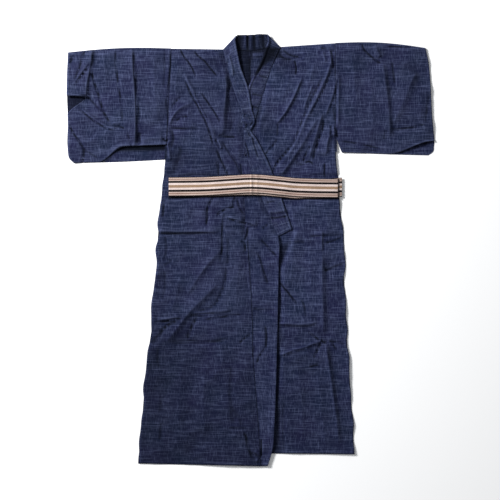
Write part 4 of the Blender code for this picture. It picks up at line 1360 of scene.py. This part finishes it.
rows = []
run_start, run_end = BELT_RUN[0][0] * MM, BELT_RUN[-1][0] * MM
for layer in range(BELT_LAYERS):
    top = layer == BELT_LAYERS - 1
    end = run_end + (BELT_TUCK if layer in (1, 2) else 0.0)
    inner = np.arange(run_start, run_end, BELT_STEP[top])[1:-1]
    xs = np.concatenate(([run_start + BELT_PITCH / 2], inner, [end]))
    way = -1.0 if layer % 2 == 0 else 1.0            # even layers run towards -X
    xs = xs[::-1] if way < 0.0 else xs
    rows.append(belt_section(xs, 0.0, layer, top))
    if top:
        break
    extra = TOP_LIFT if layer == BELT_LAYERS - 2 else 0.0
    for k in range(1, FOLD_STEPS):
        angle = math.pi * (k / FOLD_STEPS - 0.5)
        turn_x = xs[-1] + way * BELT_PITCH / 2 * math.cos(angle)
        lift = BELT_PITCH / 2 * (1.0 + math.sin(angle)) + extra * k / FOLD_STEPS
        rows.append(belt_section(turn_x, lift, layer, top))
belt_points = np.concatenate(rows)
belt_u = flat_coordinates(belt_points)[..., 1]
belt_v = np.broadcast_to(np.linspace(1.0, 0.0, BELT_CELLS + 1), belt_u.shape)
over_belt = (0.0, 0.0, BELT_WALL / 2 + STITCH_LIFT)
for column in (1, -2):
    belt_lines.append(rows[-1][2:-2, column] + over_belt)
belt_lines.append(rows[-1][-3, 2:-2] + over_belt)
BELT_END = float(belt_u.max())       # where the top layer stops
belt = cloth_sheet("belt_band", belt_points, BELT_WALL, flat=np.dstack((belt_u, belt_v)), under_step=1)

# %% [markdown]
# ## Shader helpers
# Materials are built from small groups with named sockets, so that an effect is described once and used
# with different values. `node` adds a node and plugs in its inputs, whether they are numbers or other
# nodes' outputs.

# %% Node helpers
def plug(tree, sockets, values):
    """Fill sockets. Each value is a plain one or another node's output socket."""
    for key, value in values.items():
        if isinstance(value, bpy.types.NodeSocket):
            tree.links.new(value, sockets[key])
        else:
            sockets[key].default_value = value


def node(tree, kind, inputs=None, **settings):
    """A new node with its settings, and with its inputs plugged in."""
    made = tree.nodes.new(kind)
    for key, value in settings.items():
        setattr(made, key, value)
    plug(tree, made.inputs, inputs or {})
    return made


def math_node(tree, operation, first, second=0.0, clamp=False):
    """The output of a Math node."""
    inputs = {0: first, 1: second}
    return node(tree, "ShaderNodeMath", inputs, operation=operation, use_clamp=clamp).outputs[0]


def times(tree, first, second, clamp=False):
    """Two values multiplied."""
    return math_node(tree, "MULTIPLY", first, second, clamp)


def plus(tree, first, second):
    """Two values added."""
    return math_node(tree, "ADD", first, second)


def sine(tree, place, rate):
    """A wave along a coordinate."""
    return math_node(tree, "SINE", times(tree, place, rate))


def mix_colours(tree, factor, first, second, blend="MIX"):
    """The output of a Mix node for colours."""
    inputs = {0: factor, 6: first, 7: second}
    return node(tree, "ShaderNodeMix", inputs, data_type="RGBA", blend_type=blend).outputs[2]


def bump(tree, height, distance, strength=0.5):
    """A normal that leans with the slopes of a height."""
    inputs = {"Strength": strength, "Distance": distance, "Height": height}
    return node(tree, "ShaderNodeBump", inputs).outputs[0]


def crest_value(tree):
    """The crest value that a sheet carries."""
    return node(tree, "ShaderNodeAttribute", attribute_name="crest").outputs["Fac"]


def cloth_place(tree):
    """A sheet's own flat coordinates."""
    return node(tree, "ShaderNodeUVMap", uv_map="cloth").outputs[0]


def new_group(name, inputs, outputs):
    """An empty shader group. inputs give each socket's kind and value, outputs its kind."""
    tree = bpy.data.node_groups.new(name, "ShaderNodeTree")
    for label, (kind, value) in inputs.items():
        socket = tree.interface.new_socket(label, in_out="INPUT", socket_type="NodeSocket" + kind)
        socket.default_value = value
    for label, kind in outputs.items():
        tree.interface.new_socket(label, in_out="OUTPUT", socket_type="NodeSocket" + kind)
    return tree, tree.nodes.new("NodeGroupInput").outputs, tree.nodes.new("NodeGroupOutput").inputs


def new_material(name):
    """A new material, its node tree and the inputs of its shader."""
    made = bpy.data.materials.new(name)
    made.use_nodes = True
    return made, made.node_tree, made.node_tree.nodes["Principled BSDF"].inputs


def dress(piece, material):
    """Give a piece a material, its only one."""
    piece.data.materials.clear()
    piece.data.materials.append(material)


def linear(red, green, blue):
    """A colour given as 0 to 255, as linear light."""
    return tuple((value / 255 / 12.92) if value < 10 else ((value / 255 + 0.055) / 1.055) ** 2.4
                 for value in (red, green, blue)) + (1.0,)


# %% [markdown]
# ## Slub cotton
# The robe's cotton is woven from uneven yarn. Slubs, thicker and paler bits of yarn, run as short broken
# streaks along and across the cloth. Rounding the position across the threads down gives every thread its
# own number; noise that is read along each thread then gives separate crisp streaks, and a threshold keeps
# the brightest.

# %% Streaks of slub yarn
THREAD_APART = 7.31          # how far apart two threads' noise is read
streaks, given, result = new_group("slub streaks", {
    "Across": ("Float", 0.0), "Along": ("Float", 0.0), "Width": ("Float", 0.003), "Length": ("Float", 0.05),
    "From": ("Float", 0.5), "To": ("Float", 0.7), "Seed": ("Float", 0.0),
}, {"Mask": "Float"})
thread = math_node(streaks, "FLOOR", math_node(streaks, "DIVIDE", given["Across"], given["Width"]))
place = node(streaks, "ShaderNodeCombineXYZ", {
    0: times(streaks, thread, THREAD_APART),
    1: math_node(streaks, "DIVIDE", given["Along"], given["Length"]),
    2: given["Seed"],
}).outputs[0]
noise = node(streaks, "ShaderNodeTexNoise", {"Vector": place, "Scale": 1.0, "Detail": 1.0}).outputs[0]
mask = node(streaks, "ShaderNodeMapRange", {
    "Value": noise, "From Min": given["From"], "From Max": given["To"],
}, interpolation_type="SMOOTHSTEP").outputs[0]
streaks.links.new(mask, result["Mask"])

# %% The weave as a group
weave, given, result = new_group("slub weave", {
    "Cloth": ("Vector", (0.0, 0.0, 0.0)), "Crest": ("Float", 0.0), "Ground": ("Color", linear(33, 38, 72)),
    "Shade": ("Color", linear(27, 32, 58)), "Slub": ("Color", linear(82, 88, 120)), "Wear and highlight": ("Float", 0.3),
    "Seed": ("Float", 0.0),
}, {"Colour": "Color", "Height": "Float", "Roughness": "Float"})
u, v = node(weave, "ShaderNodeSeparateXYZ", {0: given["Cloth"]}).outputs[:2]
# columns: across, along, width, length, threshold from, to, strength; lengths in metres
SLUBS = [
    (u, v, 0.0016, 0.022, 0.50, 0.70, 0.42),
    (u, v, 0.0030, 0.070, 0.50, 0.74, 0.07),
    (v, u, 0.0016, 0.062, 0.50, 0.70, 0.47),
    (v, u, 0.0034, 0.130, 0.50, 0.74, 0.15),
]
light = 0.0
for index, (across, along, width, length, low, high, strength) in enumerate(SLUBS):
    streak = node(weave, "ShaderNodeGroup", {
        "Across": across, "Along": along, "Width": width, "Length": length, "From": low, "To": high,
        "Seed": plus(weave, given["Seed"], 3.7 * index),
    }, node_tree=streaks).outputs[0]
    light = plus(weave, light, times(weave, streak, strength))
light = times(weave, light, 1.0, clamp=True)

# the dye is blotchy, and leans to green in some places and to red in others
GREENISH = (0.78, 1.07, 0.97, 1.0)
REDDISH = (1.17, 0.98, 1.10, 1.0)
blotch = node(weave, "ShaderNodeTexNoise", {
    "Vector": given["Cloth"], "Scale": 14.0, "Detail": 3.0, "Roughness": 0.6,
}).outputs[0]
ground = mix_colours(weave, blotch, given["Ground"], given["Shade"])
hue = node(weave, "ShaderNodeTexNoise", {
    "Vector": given["Cloth"], "Scale": 9.0, "Detail": 2.0, "W": 3.0,
}, noise_dimensions="4D").outputs[0]
hue = node(weave, "ShaderNodeMapRange", {"Value": hue, "From Min": 0.34, "From Max": 0.66}).outputs[0]
ground = mix_colours(weave, 1.0, ground, mix_colours(weave, hue, GREENISH, REDDISH), "MULTIPLY")
colour = mix_colours(weave, light, ground, given["Slub"])

# ridges are worn pale, which is partly wear and partly a painted highlight, and furrows are painted dark as
# shade
FURROW_COLOUR = (0.0, 0.0008, 0.0036, 1.0)
FURROW_DEPTH = 0.92          # how nearly a furrow's painted shade comes to that colour
worn_and_lit = times(weave, given["Crest"], given["Wear and highlight"], clamp=True)
colour = mix_colours(weave, worn_and_lit, colour, given["Slub"])
sunk = times(weave, times(weave, given["Crest"], -1.0, clamp=True), FURROW_DEPTH)
weave.links.new(mix_colours(weave, sunk, colour, FURROW_COLOUR), result["Colour"])

THREAD = math.tau / 0.0011   # radians of the thread wave for each metre
threads = plus(weave, sine(weave, u, THREAD), sine(weave, v, THREAD))
weave.links.new(plus(weave, times(weave, threads, 0.2), light), result["Height"])
weave.links.new(plus(weave, 0.80, times(weave, light, 0.12)), result["Roughness"])


# %% Cotton materials
def cotton(name, seed, ground, shade, slub, wear_and_highlight):
    """A material of slub cotton that follows a sheet's own cloth coordinates."""
    material, tree, shader = new_material(name)
    dyed = node(tree, "ShaderNodeGroup", {
        "Cloth": cloth_place(tree), "Crest": crest_value(tree), "Ground": ground, "Shade": shade,
        "Slub": slub, "Wear and highlight": wear_and_highlight, "Seed": seed,
    }, node_tree=weave).outputs
    plug(tree, shader, {
        "Base Color": dyed["Colour"], "Roughness": dyed["Roughness"],
        "Normal": bump(tree, dyed["Height"], 0.0004), "Specular IOR Level": 0.06, "Sheen Weight": 0.03,
        "Sheen Roughness": 0.5,
    })
    return material


NAVY = (linear(19, 23, 48), linear(16, 20, 43), linear(65, 72, 99))
COLLAR_NAVY = (linear(28, 33, 61), linear(25, 30, 55), linear(77, 85, 112))
# how much paler each piece's colours are made
PIECE_PALENESS = {body_right: 1.12, body_left: 1.36, okumi_right: 1.28, okumi_left: 1.2, sleeve_right: 1.12,
         sleeve_left: 1.22}
for index, (piece, varied) in enumerate(PIECE_PALENESS.items()):
    colours = [tuple(channel * varied for channel in colour[:3]) + (1.0,) for colour in NAVY]
    dress(piece, cotton(f"navy slub cotton, {piece.name}", 11.3 * index, *colours, 0.45))
dress(collar, cotton("navy slub cotton, collar", 90.0, *COLLAR_NAVY, 0.40))
print("cotton materials:", len([m for m in bpy.data.materials if "cotton" in m.name]))

# %% [markdown]
# ## The belt's stripes
# The belt is woven in stripes along its length. Its second cloth coordinate runs across it from 0 to 1, so
# a Colour Ramp with hard-edged stops paints them, thin brown lines in the cream ones included. A fine rib
# and a little patchy fading finish it.

# %% Striped band
DARK = linear(17, 10, 12)
CREAM = linear(184, 164, 155)
WHITE = linear(215, 199, 194)
TAN = linear(146, 120, 98)
BROWN = linear(126, 98, 86)
FADING = linear(150, 116, 104)
BAND_FURROW = (0.02, 0.015, 0.01, 1.0)
# columns: where the stripe ends, from the upper edge (0) to the lower one (1), and its colour
STRIPES = [
    (0.028, DARK),
    (0.092, CREAM),
    (0.134, BROWN),
    (0.194, CREAM),
    (0.302, DARK),
    (0.410, WHITE),
    (0.552, TAN),
    (0.658, WHITE),
    (0.772, DARK),
    (0.838, CREAM),
    (0.884, BROWN),
    (0.956, CREAM),
    (1.000, DARK),
]
STRIPE_EDGE = 0.008          # the change from one stripe to the next, as a share of the width
END_LINE = 0.0035           # the dark line across the top layer's end, in metres

band, tree, shader = new_material("striped woven band")
u, v = node(tree, "ShaderNodeSeparateXYZ", {0: cloth_place(tree)}).outputs[:2]
down = math_node(tree, "SUBTRACT", 1.0, v)
ramp = node(tree, "ShaderNodeValToRGB", {0: down})
ramp_stops = ramp.color_ramp.elements
ramp_stops[0].position, ramp_stops[0].color = 0.0, STRIPES[0][1]
ramp_stops[1].position, ramp_stops[1].color = 1.0, STRIPES[-1][1]
for (edge, before), (_, after) in zip(STRIPES, STRIPES[1:]):
    ramp_stops.new(edge - STRIPE_EDGE / 2).color = before
    ramp_stops.new(edge + STRIPE_EDGE / 2).color = after
fading = node(tree, "ShaderNodeCombineXYZ", {0: times(tree, u, 14.0), 1: times(tree, down, 5.0)}).outputs[0]
fading = node(tree, "ShaderNodeTexNoise", {"Vector": fading, "Scale": 1.0, "Detail": 2.0}).outputs[0]
patchy = node(tree, "ShaderNodeMapRange", {
    "Value": fading, "From Min": 0.3, "From Max": 0.7, "To Min": 0.0, "To Max": 0.22,
}).outputs[0]
striped = mix_colours(tree, patchy, ramp.outputs[0], FADING, "MULTIPLY")
striped = mix_colours(tree, math_node(tree, "GREATER_THAN", u, BELT_END - END_LINE), striped, DARK)
# the belt's hollows are painted dark as shade
sunk = times(tree, times(tree, crest_value(tree), -1.0, clamp=True), 0.55)
rib = plus(tree, sine(tree, u, math.tau / 0.0012), sine(tree, down, math.tau * 90))
plug(tree, shader, {
    "Base Color": mix_colours(tree, sunk, striped, BAND_FURROW), "Normal": bump(tree, rib, 0.0003),
    "Roughness": 0.82, "Specular IOR Level": 0.12, "Sheen Weight": 0.05,
})
dress(belt, band)
print("belt stripes:", len(STRIPES))

# %% [markdown]
# ## Stitches
# Hems, sleeve openings and the collar are sewn by hand with running stitches, so short threads show at even
# steps. A Geometry Nodes tree lays one small thread after another along the lines that were gathered above,
# and turns and scales each a little, with a fixed seed. What repeats along a path is quicker to grow than
# to place.

# %% Running stitches as a tree
sewing = bpy.data.node_groups.new("running stitches", "GeometryNodeTree")
sewing.is_modifier = True
SEWING_INPUTS = {
    "Lines": "NodeSocketGeometry", "Pitch": "NodeSocketFloat", "Length": "NodeSocketFloat",
    "Thickness": "NodeSocketFloat", "Seed": "NodeSocketInt", "Thread": "NodeSocketMaterial",
}
socket_of = {}
for label, kind in SEWING_INPUTS.items():
    socket_of[label] = sewing.interface.new_socket(label, in_out="INPUT", socket_type=kind).identifier
sewing.interface.new_socket("Stitches", in_out="OUTPUT", socket_type="NodeSocketGeometry")
given = sewing.nodes.new("NodeGroupInput").outputs
result = sewing.nodes.new("NodeGroupOutput").inputs


def uneven(low, high):
    """A random vector for each stitch, between two others."""
    inputs = {0: low, 1: high, "Seed": given["Seed"]}
    return node(sewing, "FunctionNodeRandomValue", inputs, data_type="FLOAT_VECTOR").outputs[0]


curves = node(sewing, "GeometryNodeMeshToCurve", {"Mesh": given["Lines"]}).outputs[0]
spaced = node(sewing, "GeometryNodeResampleCurve", {
    "Curve": curves, "Length": given["Pitch"],
}, mode="LENGTH").outputs[0]
grain = node(sewing, "GeometryNodeMeshUVSphere", {"Segments": 6, "Rings": 4, "Radius": 0.5}).outputs[0]
size = node(sewing, "ShaderNodeCombineXYZ", {
    0: given["Length"], 1: given["Thickness"], 2: given["Thickness"],
}).outputs[0]
thread = node(sewing, "GeometryNodeTransform", {"Geometry": grain, "Scale": size}).outputs[0]
along = node(sewing, "GeometryNodeInputTangent").outputs[0]
heading = node(sewing, "FunctionNodeAlignRotationToVector", {"Vector": along}, axis="X").outputs[0]
askew = uneven((-0.04, -0.04, -0.16), (0.04, 0.04, 0.16))
askew = node(sewing, "FunctionNodeEulerToRotation", {0: askew}).outputs[0]
turned = node(sewing, "FunctionNodeRotateRotation", {0: heading, 1: askew}, rotation_space="LOCAL")
laid = node(sewing, "GeometryNodeInstanceOnPoints", {
    "Points": spaced, "Instance": thread, "Rotation": turned.outputs[0],
    "Scale": uneven((0.75, 0.9, 0.9), (1.15, 1.1, 1.1)),
}).outputs[0]
real = node(sewing, "GeometryNodeRealizeInstances", {"Geometry": laid}).outputs[0]
dyed = node(sewing, "GeometryNodeSetMaterial", {"Geometry": real, "Material": given["Thread"]}).outputs[0]
sewing.links.new(dyed, result["Stitches"])


# %% Thread
def thread_material(name, colour, deep):
    """Two-ply cotton thread: fine bands across it for the twist, and a colour that varies along seams."""
    material, tree, shader = new_material(name)
    place = node(tree, "ShaderNodeTexCoord").outputs["Object"]
    twist = node(tree, "ShaderNodeTexWave", {"Vector": place, "Scale": 420.0, "Distortion": 0.4},
                 bands_direction="DIAGONAL").outputs["Fac"]
    varied = node(tree, "ShaderNodeTexNoise", {"Vector": place, "Scale": 22.0, "Detail": 2.0}).outputs[0]
    mixed = mix_colours(tree, varied, colour, deep)
    plug(tree, shader, {
        "Base Color": mix_colours(tree, times(tree, twist, 0.5), mixed, deep),
        "Normal": bump(tree, twist, 0.0002, strength=0.4), "Roughness": 0.75, "Specular IOR Level": 0.2,
    })
    return material


# %% Sew
STITCH_POINTS = 20           # vertices of one stitch


def sewn(name, lines, material, **sizes):
    """Stitches along lines, as one mesh."""
    starts = np.cumsum([0] + [len(line) for line in lines])
    edges = [(k, k + 1) for first, after in zip(starts, starts[1:]) for k in range(first, after - 1)]
    guide = bpy.data.meshes.new(name + " lines")
    guide.from_pydata(np.concatenate(lines), edges, [])
    source = add_object(name + " lines", guide)
    modifier = source.modifiers.new("sewing", "NODES")
    modifier.node_group = sewing
    for label, value in {**sizes, "Thread": material}.items():
        modifier[socket_of[label]] = value
    mesh = bpy.data.meshes.new_from_object(source.evaluated_get(bpy.context.evaluated_depsgraph_get()))
    source.modifiers.clear()
    bpy.data.objects.remove(source)
    mesh.name = name
    mesh.shade_smooth()
    print(f"{name}: {len(mesh.polygons)} faces, about {len(mesh.vertices) // STITCH_POINTS} stitches")
    return add_object(name, mesh, ROBE)


navy_thread = thread_material("navy sewing thread", linear(64, 70, 96), linear(34, 39, 64))
brown_thread = thread_material("brown sewing thread", linear(96, 74, 66), linear(52, 36, 32))
robe_stitches = sewn("robe_stitches", robe_lines, navy_thread, Pitch=9 * MM, Length=4.0 * MM,
                     Thickness=0.7 * MM, Seed=7)
belt_stitches = sewn("belt_stitches", belt_lines, brown_thread, Pitch=7 * MM, Length=3.2 * MM,
                     Thickness=0.6 * MM, Seed=8)

# %% [markdown]
# ## Floor, light and camera
# The floor is plain and pale. One large soft light stands to the upper left, low enough for the creases to
# throw short shadows, and an even grey sky fills them. The camera looks straight down.

# %% Floor
FLOOR = 6.0                  # half its side
floor_mesh = bpy.data.meshes.new("floor")
floor_corners = [(-FLOOR, -FLOOR, 0.0), (FLOOR, -FLOOR, 0.0), (FLOOR, FLOOR, 0.0), (-FLOOR, FLOOR, 0.0)]
floor_mesh.from_pydata(floor_corners, [], [(0, 1, 2, 3)])
floor = add_object("floor", floor_mesh)
pale, tree, shader = new_material("pale floor")
plug(tree, shader, {"Base Color": (0.93, 0.93, 0.93, 1.0), "Roughness": 0.9, "Specular IOR Level": 0.1})
dress(floor, pale)

# %% Light
KEY_PLACE = Vector((-2.95, 2.05, 2.20))
lamp = bpy.data.lights.new("key", "AREA")
lamp.shape = "DISK"
lamp.size = 1.1
lamp.energy = 345.0
key = add_object("key", lamp)
key.location = KEY_PLACE
key.rotation_mode = "QUATERNION"
key.rotation_quaternion = (-KEY_PLACE).to_track_quat("-Z", "Y")

world = bpy.data.worlds.new("soft grey sky")
world.use_nodes = True
sky = world.node_tree.nodes["Background"].inputs
plug(world.node_tree, sky, {"Color": (0.95, 0.97, 1.0, 1.0), "Strength": 0.40})
SCENE.world = world
SCENE.view_settings.view_transform = "Standard"

# %% Camera
VIEW_WIDTH = 1.75
CAMERA_HEIGHT = 4.2
SENSOR = 36.0                # in millimetres, as Blender has it
camera_data = bpy.data.cameras.new("camera")
camera_data.sensor_width = SENSOR
camera_data.lens = SENSOR * CAMERA_HEIGHT / VIEW_WIDTH
camera = add_object("camera", camera_data)
camera.location = (-1.75 * MM, 1.75 * MM, CAMERA_HEIGHT)
SCENE.camera = camera

# %% Cloth areas, and the solids that the sheets stand in for
# columns: sheet, solid it stands for, slot, width, length and area of the flat cut, what it rests on
SHEETS = [
    (body_right, "body_right", "navy_cotton", 0.425, 2.92, 0.95, ["floor"]),
    (body_left, "body_left", "navy_cotton", 0.385, 2.88, 0.93, ["floor"]),
    (okumi_right, "okumi_right", "navy_cotton", 0.115, 1.14, 0.088, [body_left]),
    (okumi_left, "okumi_left", "navy_cotton", 0.100, 1.02, 0.085, [body_left]),
    (sleeve_right, "sleeve_right", "navy_cotton", 0.365, 0.79, 0.268, ["floor"]),
    (sleeve_left, "sleeve_left", "navy_cotton", 0.345, 0.78, 0.253, ["floor"]),
    (collar, "collar", "navy_cotton_collar", 0.060, 1.66, 0.083, [body_right, body_left]),
    (belt, "belt", "striped_band", 0.0665, 2.43, 0.1616, [body_right, body_left, collar]),
]
for piece, solid, slot, width, length, area, below in SHEETS:
    both_sides = sum(face.area for face in piece.data.polygons)
    print(f"{piece.name}: {both_sides / 2:.3f} square metres of cloth, cut from {area:.3f}")
    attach(piece, "root")
    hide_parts(solid)
for stitches in (robe_stitches, belt_stitches):
    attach(stitches, "root")
